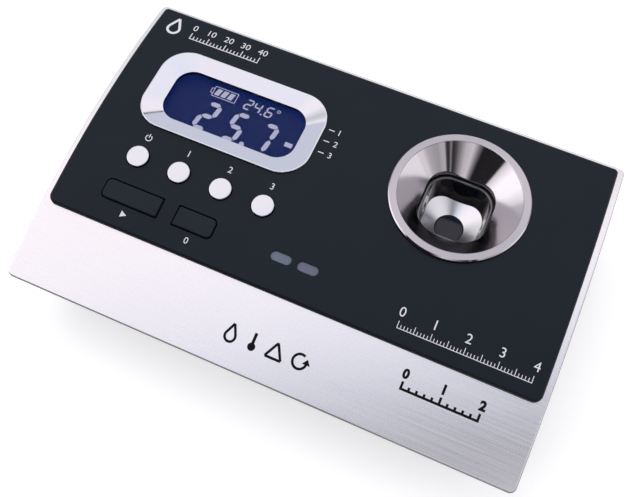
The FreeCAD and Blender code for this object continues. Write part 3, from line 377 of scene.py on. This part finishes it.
def circuit_board(name):
    """Green solder mask over copper tracks."""
    material, tree, shader = new_material(name)
    point = object_point(tree)
    tracks = tree.nodes.new("ShaderNodeTexVoronoi")
    tracks.distance = "CHEBYCHEV"
    tracks.feature = "DISTANCE_TO_EDGE"
    tracks.inputs["Scale"].default_value = 1 / (5 * mm)
    tree.links.new(point, tracks.inputs["Vector"])
    edges = remap(tree, tracks.outputs["Distance"], 0.04, 0.06, 1.0, 0.0)
    paint(tree, shader, edges, (0.012, 0.085, 0.035), (0.030, 0.160, 0.060))
    shader.inputs["Roughness"].default_value = 0.35
    add_bump(tree, shader, edges, 0.4, 0.03 * mm)
    return material


def soft_rubber(name, colour):
    """Matt rubber with a fine grain."""
    material, tree, shader = new_material(name)
    point = object_point(tree)
    fine = noise(tree, point, 1 / (0.15 * mm), 4.0)
    paint(tree, shader, fine, shade(colour, 0.85), shade(colour, 1.2))
    shader.inputs["Roughness"].default_value = 0.78
    add_bump(tree, shader, fine, 0.5, 0.01 * mm)
    return material


def flat_cable(name):
    """White ribbon with thin grey conductors along it."""
    material, tree, shader = new_material(name)
    wave = tree.nodes.new("ShaderNodeTexWave")
    wave.inputs["Scale"].default_value = 1 / (6 * mm)
    wave.inputs["Distortion"].default_value = 0.0
    tree.links.new(object_point(tree), wave.inputs["Vector"])
    paint(tree, shader, wave.outputs["Fac"], (0.62, 0.62, 0.60), (0.36, 0.36, 0.37))
    shader.inputs["Roughness"].default_value = 0.45
    return material


def lamp_cover(name, colour):
    """Smooth translucent plastic over an indicator lamp, unlit."""
    return moulded_plastic(name, colour, rough=0.30, grain=0.6 * mm, depth=0.002 * mm, gloss=0.4)


def small_part_metal(name, colour, rough, length):
    """Plated or plain metal of a small part, with short brushing."""
    return brushed_metal(name, colour, rough, streak=0.08 * mm, length=length)


materials = {
    # The plate's cut sides get a strong painted shade
    "plate": brushed_metal("plate_metal", plate_metal, rough=0.29, streak=0.16 * mm,
                           length=42 * mm, side_shade=0.22),
    # The panel's sides and the walls of its holes and grooves get a strong painted shade
    "panel": moulded_plastic("panel_plastic", panel_black, rough=0.38, grain=0.22 * mm, side_shade=0.15),
    # The chrome frame and round keys get painted shade below a height
    "bezel": chrome_plate("bezel_chrome", chrome_tint, 0.08, frame_shade_top),
    "button": chrome_plate("button_chrome", button_tint, 0.10, button_shade_top),
    "window": clear_pane("window_clear", (0.98, 0.98, 0.99), ior=1.08),
    "lcd": lit_panel("lcd_blue", lcd_navy, mottle=0.10),
    "segment": lit_panel("lcd_segment", segment_pale, mottle=0.04),
    "key": moulded_plastic("key_plastic", key_black, rough=0.40, grain=0.20 * mm),
    "lamp_left": lamp_cover("lamp_blue_grey", lamp_blue),
    "lamp_right": lamp_cover("lamp_violet_grey", lamp_violet),
    "steel": turned_steel("funnel_steel", cone_steel, rim_steel, steep_rough=0.085,
                          level_rough=0.34, steepest=0.75, flattest=0.97, stretch=0.9),
    # The well's dark walls and lip are a painted shade, its bright floor a painted reflection
    "well": turned_steel("well_shaded_steel", well_shaded_steel, well_floor_reflection, steep_rough=0.05,
                         level_rough=0.22, steepest=0.45, flattest=0.80, below=well_middle),
    "prism": dark_glass("prism_glass", prism_dark),
    "optics": clear_pane("optic_glass", (0.93, 0.96, 0.97), ior=1.52),
    "seal": soft_rubber("seal_rubber", rubber_black),
    "case": moulded_plastic("case_plastic", case_black, rough=0.48, grain=0.35 * mm,
                            depth=0.012 * mm),
    "dark": moulded_plastic("inner_black", (0.020, 0.020, 0.022), rough=0.5),
    "white": moulded_plastic("inner_white", (0.70, 0.71, 0.69), rough=0.4),
    "board": circuit_board("circuit_board"),
    "chip": moulded_plastic("chip_black", (0.030, 0.030, 0.033), rough=0.45),
    "anodised": brushed_metal("anodised_block", (0.05, 0.05, 0.055), rough=0.40,
                              streak=0.15 * mm, length=15 * mm),
    "screw": small_part_metal("screw_zinc", (0.56, 0.56, 0.58), 0.32, 3 * mm),
    "nut": small_part_metal("nut_brass", (0.60, 0.47, 0.22), 0.30, 6 * mm),
    "cell": moulded_plastic("cell_wrap", (0.10, 0.21, 0.17), rough=0.28, grain=0.5 * mm,
                            depth=0.002 * mm),
    "contact": small_part_metal("contact_nickel", (0.70, 0.69, 0.65), 0.25, 3 * mm),
    "ribbon": flat_cable("ribbon_cable"),
    "foot": soft_rubber("foot_rubber", foot_black),
    "ink_white": printed_ink("ink_white", print_white),
    "ink_black": printed_ink("ink_black", print_black),
}

key_names = ("power", "mode_1", "mode_2", "mode_3", "start", "zero")
node_materials = {
    "plate": ["top_plate"],
    "panel": ["control_panel"],
    "bezel": ["display_bezel"],
    "button": [name + "_button" for name in key_names[:4]],
    "window": ["display_window"],
    "lcd": ["lcd_glass"],
    "key": ["start_key", "zero_key"],
    "lamp_left": ["indicator_pipe_left"],
    "lamp_right": ["indicator_pipe_right"],
    "steel": ["stage_funnel"],
    "well": ["sample_well"],
    "prism": ["prism"],
    "optics": ["cell_windows", "polarimeter_led", "collimating_lens", "polarizer", "analyzer"],
    "seal": ["stage_seal", "well_gasket", "prism_seal", "housing_gasket"],
    "case": ["upper_housing", "base_housing", "battery_door"],
    "dark": ["lcd_frame", "prism_holder"] + [name + "_plunger" for name in key_names],
    "white": ["backlight", "indicator_leds", "refraction_led"],
    "board": ["display_board", "key_board", "sensor_board", "main_board"],
    "chip": ["tact_switches", "photodiode", "thermistor", "line_sensor", "board_parts", "buzzer"],
    "anodised": ["optical_block"],
    "screw": ["housing_screws", "stage_screws", "board_screws"],
    "nut": ["stage_nut"],
    "cell": ["battery_cells"],
    "contact": ["battery_contacts"],
    "ribbon": ["display_ribbon", "key_ribbon", "sensor_ribbon"],
    "foot": ["rubber_feet"],
}


def dress_nodes():
    for kind, names in node_materials.items():
        for name in names:
            mesh = nodes[name].data
            mesh.materials.clear()
            mesh.materials.append(materials[kind])


# Flat marks: outlines in the plane, mapped onto a surface and given a thickness

fine_line = 0.32 * mm
sign_line = 0.8 * mm


def add_strip(bm, surface, start, end, width, step=1.0 * mm):
    """Straight stroke, divided so that it follows a curved surface."""
    along = Vector(end) - Vector(start)
    side = Vector((-along.y, along.x)).normalized() * width / 2
    count = max(1, math.ceil(along.length / step))
    rows = []
    for i in range(count + 1):
        point = Vector(start) + along * i / count
        rows.append([bm.verts.new(surface(*(point + offset))) for offset in (-side, side)])
    for first, second in zip(rows, rows[1:]):
        bm.faces.new((first[0], second[0], second[1], first[1]))


def add_arc(bm, surface, centre, radius, width, start, end, steps=40):
    """Curved stroke from one angle to another, in degrees."""
    rows = []
    for i in range(steps + 1):
        angle = math.radians(start + (end - start) * i / steps)
        ray = Vector((math.cos(angle), math.sin(angle)))
        rows.append([bm.verts.new(surface(*(Vector(centre) + ray * (radius + side * width / 2))))
                     for side in (1, -1)])
    for first, second in zip(rows, rows[1:]):
        bm.faces.new((first[0], second[0], second[1], first[1]))


def add_polygon(bm, surface, points):
    """Filled outline of one face."""
    bm.faces.new([bm.verts.new(surface(*point)) for point in points])


def add_disc(bm, surface, centre, radius, count=28):
    points = []
    for i in range(count):
        angle = 2 * math.pi * i / count
        points.append((centre[0] + radius * math.cos(angle), centre[1] + radius * math.sin(angle)))
    add_polygon(bm, surface, points)


def finish_mark(name, bm, material, body="case"):
    """Turns flat faces into a thin printed layer that rides on a body."""
    bmesh.ops.recalc_face_normals(bm, faces=bm.faces)
    for face in bm.faces:
        face.normal_update()
        if face.normal.z < 0:
            face.normal_flip()
    raised = bmesh.ops.extrude_face_region(bm, geom=list(bm.faces))
    lifted = [item for item in raised["geom"] if isinstance(item, bmesh.types.BMVert)]
    bmesh.ops.translate(bm, verts=lifted, vec=(0, 0, print_thickness))
    bmesh.ops.recalc_face_normals(bm, faces=bm.faces)
    mesh = bpy.data.meshes.new(name)
    bm.to_mesh(mesh)
    bm.free()
    mesh.materials.append(material)
    piece = bpy.data.objects.new(name, mesh)
    bpy.context.scene.collection.objects.link(piece)
    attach(piece, body)


def add_numeral(bm, surface, digits, height, left, base, weight=0.0):
    """Plain numerals, mapped onto a surface; left and base are the lower left corner."""
    curve = bpy.data.curves.new("numerals", "FONT")
    curve.body = digits
    curve.offset = weight
    curve.resolution_u = 5
    holder = bpy.data.objects.new("numerals", curve)
    bpy.context.scene.collection.objects.link(holder)
    bpy.context.view_layer.update()
    mesh = bpy.data.meshes.new_from_object(holder)
    bpy.data.objects.remove(holder)
    xs = [v.co.x for v in mesh.vertices]
    ys = [v.co.y for v in mesh.vertices]
    scale = height / (max(ys) - min(ys))
    made = {}
    for v in mesh.vertices:
        x = left + (v.co.x - min(xs)) * scale
        y = base + (v.co.y - min(ys)) * scale
        made[v.index] = bm.verts.new(surface(x, y))
    for polygon in mesh.polygons:
        bm.faces.new([made[i] for i in polygon.vertices])
    width = (max(xs) - min(xs)) * scale
    bpy.data.meshes.remove(mesh)
    return width


def add_centred_numeral(bm, surface, digits, height, centre_x, base, weight=0.0):
    """Numerals with their middle at centre_x, measured on a mesh that is thrown away."""
    probe = bmesh.new()
    width = add_numeral(probe, surface, digits, height, 0.0, 0.0, weight)
    probe.free()
    add_numeral(bm, surface, digits, height, centre_x - width / 2, base, weight)


# Display content

segment_paths = {
    "top": ((0, 2), (1, 2)),
    "upper_left": ((0, 1), (0, 2)),
    "upper_right": ((1, 1), (1, 2)),
    "middle": ((0, 1), (1, 1)),
    "lower_left": ((0, 0), (0, 1)),
    "lower_right": ((1, 0), (1, 1)),
    "bottom": ((0, 0), (1, 0)),
}
digit_segments = {
    "0": ("top", "upper_left", "upper_right", "lower_left", "lower_right", "bottom"),
    "1": ("upper_right", "lower_right"),
    "2": ("top", "upper_right", "middle", "lower_left", "bottom"),
    "3": ("top", "upper_right", "middle", "lower_right", "bottom"),
    "4": ("upper_left", "upper_right", "middle", "lower_right"),
    "5": ("top", "upper_left", "middle", "lower_right", "bottom"),
    "6": ("top", "upper_left", "middle", "lower_left", "lower_right", "bottom"),
    "7": ("top", "upper_right", "lower_right"),
    "8": tuple(segment_paths),
    "9": ("top", "upper_left", "upper_right", "middle", "lower_right", "bottom"),
}
digit_slant = 0.14
large_digit_lefts = (-11.9, -1.1, 9.5)


def add_digit(bm, digit, left, base, width, height, stroke):
    """Seven-segment digit, each segment a six-sided bar with mitred ends."""
    gap = stroke * 0.12
    for name in digit_segments[digit]:
        (x0, y0), (x1, y1) = segment_paths[name]
        start = Vector((left + x0 * width, base + y0 * height / 2))
        end = Vector((left + x1 * width, base + y1 * height / 2))
        along = (end - start).normalized()
        side = Vector((-along.y, along.x)) * stroke / 2
        start += along * gap
        end -= along * gap
        shoulder = along * stroke / 2
        outline = [start, start + shoulder + side, end - shoulder + side,
                   end, end - shoulder - side, start + shoulder - side]
        slanted = [(p.x + (p.y - base) * digit_slant, p.y) for p in outline]
        add_polygon(bm, lcd_surface, slanted)


def display_point(x, y):
    """Place on the display, in millimetres from its middle."""
    return (display_middle.x + x * mm, display_middle.y + y * mm)


def make_big_digits():
    bm = bmesh.new()
    low = -8.1
    for left, digit in zip(large_digit_lefts, "257"):
        x, y = display_point(left, low)
        add_digit(bm, digit, x, y, 4.2 * mm, 10.4 * mm, 1.65 * mm)
    add_disc(bm, lcd_surface, display_point(6.3, low), 0.9 * mm)
    finish_mark("lcd_large_digits", bm, materials["segment"])


def make_small_digits():
    bm = bmesh.new()
    low = 5.0
    for left, digit in ((0.5, "2"), (3.8, "4"), (8.2, "6")):
        x, y = display_point(left, low)
        add_digit(bm, digit, x, y, 2.2 * mm, 3.8 * mm, 0.55 * mm)
    add_disc(bm, lcd_surface, display_point(7.2, low), 0.32 * mm)
    add_arc(bm, lcd_surface, display_point(12.5, 8.4), 0.5 * mm, 0.28 * mm, 0, 360, 20)
    finish_mark("lcd_small_digits", bm, materials["segment"])


def make_battery_sign():
    """Outline with a nub at the left end and three slanted bars."""
    bm = bmesh.new()
    line = 0.26 * mm
    corners = [(-11.6, 9.3), (-3.0, 9.3), (-3.0, 5.4), (-11.6, 5.4)]
    for first, second in zip(corners, corners[1:] + corners[:1]):
        add_strip(bm, lcd_surface, display_point(*first), display_point(*second), line)
    nub = [(-11.7, 8.3), (-12.5, 8.3), (-12.5, 6.4), (-11.7, 6.4)]
    for first, second in zip(nub, nub[1:]):
        add_strip(bm, lcd_surface, display_point(*first), display_point(*second), line)
    for left in (-11.0, -8.6, -6.2):
        bar = [(left, 6.0), (left + 1.75, 6.0), (left + 2.35, 8.7), (left + 0.6, 8.7)]
        add_polygon(bm, lcd_surface, [display_point(*p) for p in bar])
    finish_mark("lcd_battery_sign", bm, materials["segment"])


def make_unit_cursor():
    """Small bar beside the marks that show the unit in use."""
    bm = bmesh.new()
    x, y = display_point(20.8, -2.2)
    half_x = 1.35 * mm
    half_y = 0.85 * mm
    add_polygon(bm, lcd_surface, [(x - half_x, y - half_y), (x + half_x, y - half_y),
                                  (x + half_x, y + half_y), (x - half_x, y + half_y)])
    finish_mark("lcd_cursor", bm, materials["segment"])


# Panel print

def make_unit_marks():
    """Three ticks beside the display, numbered."""
    bm = bmesh.new()
    right = display_middle.x + 31.9 * mm
    for row, digits in enumerate("123"):
        y = display_middle.y + (6.0 - 4.55 * row) * mm
        add_strip(bm, panel_surface, (right, y), (right + 2.0 * mm, y), fine_line)
        add_numeral(bm, panel_surface, digits, 2.1 * mm, right + 3.6 * mm, y - 1.05 * mm)
    finish_mark("unit_marks", bm, materials["ink_white"])


def make_button_marks():
    """Switch sign over the first round key and numbers over the others."""
    bm = bmesh.new()
    centres = [middle(name + "_button") for name in key_names[:4]]
    base = centres[0].y + 5.9 * mm
    sign = (centres[0].x, base + 1.15 * mm)
    add_arc(bm, panel_surface, sign, 1.05 * mm, fine_line, 125, 415)
    stroke_low, stroke_high = sign[1] + 0.1 * mm, sign[1] + 1.5 * mm
    add_strip(bm, panel_surface, (sign[0], stroke_low), (sign[0], stroke_high), fine_line)
    for centre, digits in zip(centres[1:], "123"):
        add_centred_numeral(bm, panel_surface, digits, 2.2 * mm, centre.x, base)
    finish_mark("button_marks", bm, materials["ink_white"])


def make_key_marks():
    """Start sign under the long key and a zero under the short one."""
    bm = bmesh.new()
    start = middle("start_key")
    zero = middle("zero_key")
    base = start.y - 7.6 * mm
    half = 1.05 * mm
    add_polygon(bm, panel_surface, [(start.x - half, base), (start.x + 1.0 * mm, base + half),
                                    (start.x - half, base + 2 * half)])
    add_centred_numeral(bm, panel_surface, "0", 2.1 * mm, zero.x, base)
    finish_mark("key_marks", bm, materials["ink_white"])


def add_drop(bm, surface, centre, height, width):
    """Outline of a falling drop: a round bottom and two straight flanks to the tip."""
    radius = height * 0.30
    low = centre[1] - height / 2 + radius
    tip = (centre[0], centre[1] + height / 2)
    spread = math.degrees(math.acos(radius / (tip[1] - low)))
    add_arc(bm, surface, (centre[0], low), radius, width, 90 + spread, 450 - spread)
    for side in (-1, 1):
        angle = math.radians(90 + side * spread)
        touch = (centre[0] + radius * math.cos(angle), low + radius * math.sin(angle))
        add_strip(bm, surface, touch, tip, width)


def add_scale(bm, surface, left, base, pitch, count, height, width, long_every=5):
    """Row of graduation ticks on a base line."""
    for i in range(count + 1):
        x = left + i * pitch
        top = base + (height if i % long_every == 0 else height * 0.55)
        add_strip(bm, surface, (x, base), (x, top), width)
    right = left + count * pitch
    add_strip(bm, surface, (left - width / 2, base), (right + width / 2, base), width)


def make_corner_print():
    """Drop sign and a short numbered scale in the back left corner."""
    bm = bmesh.new()
    left = panel_low.x + 4.0 * mm
    base = panel_high.y - 10.2 * mm
    add_drop(bm, panel_surface, (left + 3.4 * mm, base + 3.5 * mm), 7.0 * mm, 0.9 * mm)
    scale_left = left + 10.5 * mm
    pitch = 1.3 * mm
    add_scale(bm, panel_surface, scale_left, base + 0.4 * mm, pitch, 20, 2.6 * mm, fine_line)
    for i, digits in enumerate(("0", "10", "20", "30", "40")):
        add_centred_numeral(bm, panel_surface, digits, 2.5 * mm, scale_left + i * 5 * pitch,
                            base + 4.2 * mm)
    finish_mark("corner_print", bm, materials["ink_white"])


def make_stage_print():
    """Fine numbered scale in front of the sample stage."""
    bm = bmesh.new()
    left = stage_middle.x - 2.5 * mm
    base = panel_low.y + 4.6 * mm
    pitch = 1.05 * mm
    add_scale(bm, panel_surface, left, base, pitch, 40, 2.2 * mm, 0.22 * mm)
    for i in range(5):
        add_centred_numeral(bm, panel_surface, str(i), 3.0 * mm, left + i * 10 * pitch,
                            base + 3.6 * mm)
    finish_mark("stage_print", bm, materials["ink_white"])


def make_plate_print():
    """Row of four signs for what the meter reads: drop, heat, light path and turn."""
    bm = bmesh.new()
    y = -44.6 * mm
    xs = [-9.6 * mm, -2.2 * mm, 5.2 * mm, 13.2 * mm]
    add_drop(bm, plate_surface, (xs[0], y), 5.6 * mm, sign_line)
    add_disc(bm, plate_surface, (xs[1], y - 1.6 * mm), 1.25 * mm)
    add_strip(bm, plate_surface, (xs[1], y - 1.0 * mm), (xs[1], y + 2.7 * mm), 0.95 * mm)
    corners = [(xs[2] - 2.6 * mm, y - 2.3 * mm), (xs[2] + 2.6 * mm, y - 2.3 * mm),
               (xs[2], y + 2.5 * mm)]
    for first, second in zip(corners, corners[1:] + corners[:1]):
        add_strip(bm, plate_surface, first, second, sign_line)
    add_arc(bm, plate_surface, (xs[3], y), 2.2 * mm, sign_line, 60, 360)
    tip = (xs[3] + 2.2 * mm, y + 1.4 * mm)
    add_polygon(bm, plate_surface, [tip, (tip[0] - 1.3 * mm, tip[1] - 1.7 * mm),
                                    (tip[0] + 1.3 * mm, tip[1] - 1.7 * mm)])
    finish_mark("plate_signs", bm, materials["ink_black"])


def make_plate_scale():
    """Short bold scale on the bare metal, right of the signs."""
    bm = bmesh.new()
    left = 44.0 * mm
    base = -40.4 * mm
    pitch = 2.4 * mm
    add_scale(bm, plate_surface, left, base, pitch, 10, 2.2 * mm, 0.75 * mm)
    for i in range(3):
        add_centred_numeral(bm, plate_surface, str(i), 3.1 * mm, left + i * 5 * pitch,
                            base + 3.0 * mm, weight=0.055)
    finish_mark("plate_scale", bm, materials["ink_black"])


# Studio

floor_half = 3.0
floor_white = (0.66, 0.66, 0.67)
floor_lift = 0.58
box_place = Vector((-0.35, 0.30, 0.95))
box_aim = Vector((0.0, 0.0, 0.02))
box_width = 0.9
box_depth = 0.7
box_watts = 2.5


def seen_rays(tree):
    """One for rays from the camera and for those that metal and glass send on."""
    path = tree.nodes.new("ShaderNodeLightPath")
    total = path.outputs["Is Camera Ray"]
    for kind in ("Is Glossy Ray", "Is Transmission Ray"):
        larger = tree.nodes.new("ShaderNodeMath")
        larger.operation = "MAXIMUM"
        tree.links.new(total, larger.inputs[0])
        tree.links.new(path.outputs[kind], larger.inputs[1])
        total = larger.outputs[0]
    return total


def make_floor():
    """White sheet that keeps the shadow; seen directly it is lifted towards white."""
    half = floor_half
    bm = bmesh.new()
    corners = [(-half, -half), (half, -half), (half, half), (-half, half)]
    bm.faces.new([bm.verts.new((x, y, 0.0)) for x, y in corners])
    mesh = bpy.data.meshes.new("floor")
    bm.to_mesh(mesh)
    bm.free()
    floor = bpy.data.objects.new("floor", mesh)
    bpy.context.scene.collection.objects.link(floor)
    material, tree, shader = new_material("floor_white")
    set_colour(shader, floor_white)
    shader.inputs["Roughness"].default_value = 0.9
    shader.inputs["Specular IOR Level"].default_value = 0.0
    shader.inputs["Emission Color"].default_value = (*plain_white, 1.0)
    lift = remap(tree, seen_rays(tree), 0.0, 1.0, 0.0, floor_lift)
    tree.links.new(lift, shader.inputs["Emission Strength"])
    mesh.materials.append(material)


# What the polished metal mirrors low down: soft boxes with dark gaps between them, as
# (compass angle in degrees from +X, level)
low_boxes = (
    (0, 1.22), (46, 1.22), (60, 0.70), (100, 0.70), (155, 0.70), (165, 0.80), (171, 1.20),
    (178, 1.40), (186, 1.65), (208, 1.70), (216, 1.36), (224, 0.98), (227.5, 0.02), (262, 0.02),
    (265, 0.12), (268.5, 0.28), (277, 0.90), (287, 0.76), (296, 0.33), (303, 0.08), (308, 0.03),
    (311, 0.36), (313.5, 0.04), (318, 0.06), (320.5, 0.66), (326, 0.64), (331, 0.50), (338, 0.56),
    (346, 0.68), (353, 1.05),
)
# Their light is cooler at the back left
low_tint = (1.0, 0.97, 1.0)
cool_tint = (0.96, 0.98, 1.10)
cool_from = 90
cool_to = 160
# The sheet overhead, along X + overhead_turn * Y of the direction: a dimmer band at the back
# left, white over the middle, then a fade to a dark slit and a bright edge at the front right
overhead = (
    (-0.92, (1.06, 0.99, 1.02)), (-0.87, (0.80, 0.79, 0.80)), (-0.80, (0.64, 0.65, 0.66)),
    (-0.74, (0.80, 0.80, 0.81)), (-0.62, (1.06, 0.99, 1.02)),
    (-0.42, (1.06, 0.99, 1.02)), (-0.25, (1.02, 0.965, 1.005)), (-0.07, (0.955, 0.94, 1.02)),
    (0.08, (0.76, 0.805, 0.925)), (0.17, (0.64, 0.69, 0.80)), (0.27, (0.24, 0.24, 0.27)),
    (0.31, (0.02, 0.02, 0.02)), (0.395, (0.02, 0.02, 0.02)), (0.43, (0.46, 0.45, 0.48)),
    (0.50, (0.86, 0.84, 0.88)),
)
overhead_start = -1.0
overhead_end = 0.6
overhead_turn = -0.7
# The ring ends and the sheet starts between these heights of the direction. At the back and
# right, up to gap_ends_at degrees, a dark gap parts them, given as (height, level)
gap_low = 0.615
gap_high = 0.647
gap_levels = ((gap_low, 1.0), (0.623, 0.05), (0.639, 0.05), (gap_high, 1.0))
gap_ends_at = 116
gap_fade = 4
full_turn = 360


def colour_ramp(tree, place, stops):
    """Colour ramp with stops of (position, colour)."""
    made = tree.nodes.new("ShaderNodeValToRGB")
    tree.links.new(place, made.inputs["Fac"])
    elements = made.color_ramp.elements
    for i, (position, colour) in enumerate(stops):
        stop = elements[i] if i < 2 else elements.new(position)
        stop.position = position
        stop.color = (*colour, 1.0)
    return made.outputs["Color"]


def compass_share(tree, parts):
    """Compass angle of a direction, from +X, as a share of the full turn."""
    turn = tree.nodes.new("ShaderNodeMath")
    turn.operation = "ARCTAN2"
    tree.links.new(parts.outputs["Y"], turn.inputs[0])
    tree.links.new(parts.outputs["X"], turn.inputs[1])
    share = remap(tree, turn.outputs[0], 0.0, 2 * math.pi, 0.0, 1.0)
    share.node.clamp = False
    wrapped = tree.nodes.new("ShaderNodeMath")
    wrapped.operation = "FRACT"
    tree.links.new(share, wrapped.inputs[0])
    return wrapped.outputs[0]


def make_world():
    """Overhead sheet above a low ring of soft boxes; seen directly the world is white."""
    world = bpy.data.worlds.new("studio")
    world.use_nodes = True
    tree = world.node_tree
    tree.nodes.clear()
    place = tree.nodes.new("ShaderNodeTexCoord")
    parts = tree.nodes.new("ShaderNodeSeparateXYZ")
    tree.links.new(place.outputs["Generated"], parts.inputs[0])
    compass = compass_share(tree, parts)
    ring = []
    for degrees, level in low_boxes:
        tint = cool_tint if cool_from <= degrees <= cool_to else low_tint
        ring.append((degrees / full_turn, shade(tint, level)))
    low = colour_ramp(tree, compass, ring)
    diagonal = tree.nodes.new("ShaderNodeMath")
    diagonal.operation = "MULTIPLY_ADD"
    tree.links.new(parts.outputs["Y"], diagonal.inputs[0])
    diagonal.inputs[1].default_value = overhead_turn
    tree.links.new(parts.outputs["X"], diagonal.inputs[2])
    across = remap(tree, diagonal.outputs[0], overhead_start, overhead_end, 0.0, 1.0)
    length = overhead_end - overhead_start
    high = colour_ramp(tree, across, [((stop - overhead_start) / length, colour)
                                      for stop, colour in overhead])
    height = remap(tree, parts.outputs["Z"], gap_low, gap_high, 0.0, 1.0)
    levels = [(stop, shade(plain_white, level)) for stop, level in gap_levels]
    gap = colour_ramp(tree, parts.outputs["Z"], levels)
    gapped = tree.nodes.new("ShaderNodeMix")
    gapped.data_type = "RGBA"
    gapped.blend_type = "MULTIPLY"
    behind = remap(tree, compass, gap_ends_at / full_turn, (gap_ends_at + gap_fade) / full_turn,
                   1.0, 0.0)
    tree.links.new(behind, gapped.inputs["Factor"])
    tree.links.new(mix_colours(tree, height, low, high), gapped.inputs[6])
    tree.links.new(gap, gapped.inputs[7])
    mirrored = gapped.outputs[2]
    path = tree.nodes.new("ShaderNodeLightPath")
    colour = mix_colours(tree, path.outputs["Is Camera Ray"], mirrored, plain_white)
    background = tree.nodes.new("ShaderNodeBackground")
    tree.links.new(colour, background.inputs["Color"])
    output = tree.nodes.new("ShaderNodeOutputWorld")
    tree.links.new(background.outputs[0], output.inputs["Surface"])
    bpy.context.scene.world = world


def make_soft_box():
    """Lamp that gives the soft shadow; polished metal doesn't mirror it."""
    lamp = bpy.data.lights.new("soft_box", "AREA")
    lamp.shape = "RECTANGLE"
    lamp.size = box_width
    lamp.size_y = box_depth
    lamp.energy = box_watts
    holder = bpy.data.objects.new("soft_box", lamp)
    bpy.context.scene.collection.objects.link(holder)
    holder.location = box_place
    holder.visible_glossy = False
    aim = box_aim - box_place
    holder.rotation_euler = aim.to_track_quat("-Z", "Y").to_euler()


def make_camera():
    data = bpy.data.cameras.new("camera")
    data.lens = camera_lens
    data.sensor_width = sensor_width
    data.clip_start = 0.01
    data.clip_end = 20.0
    camera = bpy.data.objects.new("camera", data)
    bpy.context.scene.collection.objects.link(camera)
    back = camera_right.cross(camera_up)
    turn = Matrix((camera_right, camera_up, back)).transposed().to_4x4()
    camera.matrix_world = Matrix.Translation(camera_place) @ turn
    bpy.context.scene.camera = camera


dress_nodes()
make_big_digits()
make_small_digits()
make_battery_sign()
make_unit_cursor()
make_unit_marks()
make_button_marks()
make_key_marks()
make_corner_print()
make_stage_print()
make_plate_print()
make_plate_scale()
make_floor()
make_world()
make_soft_box()
make_camera()
bpy.context.scene.view_settings.view_transform = "Standard"
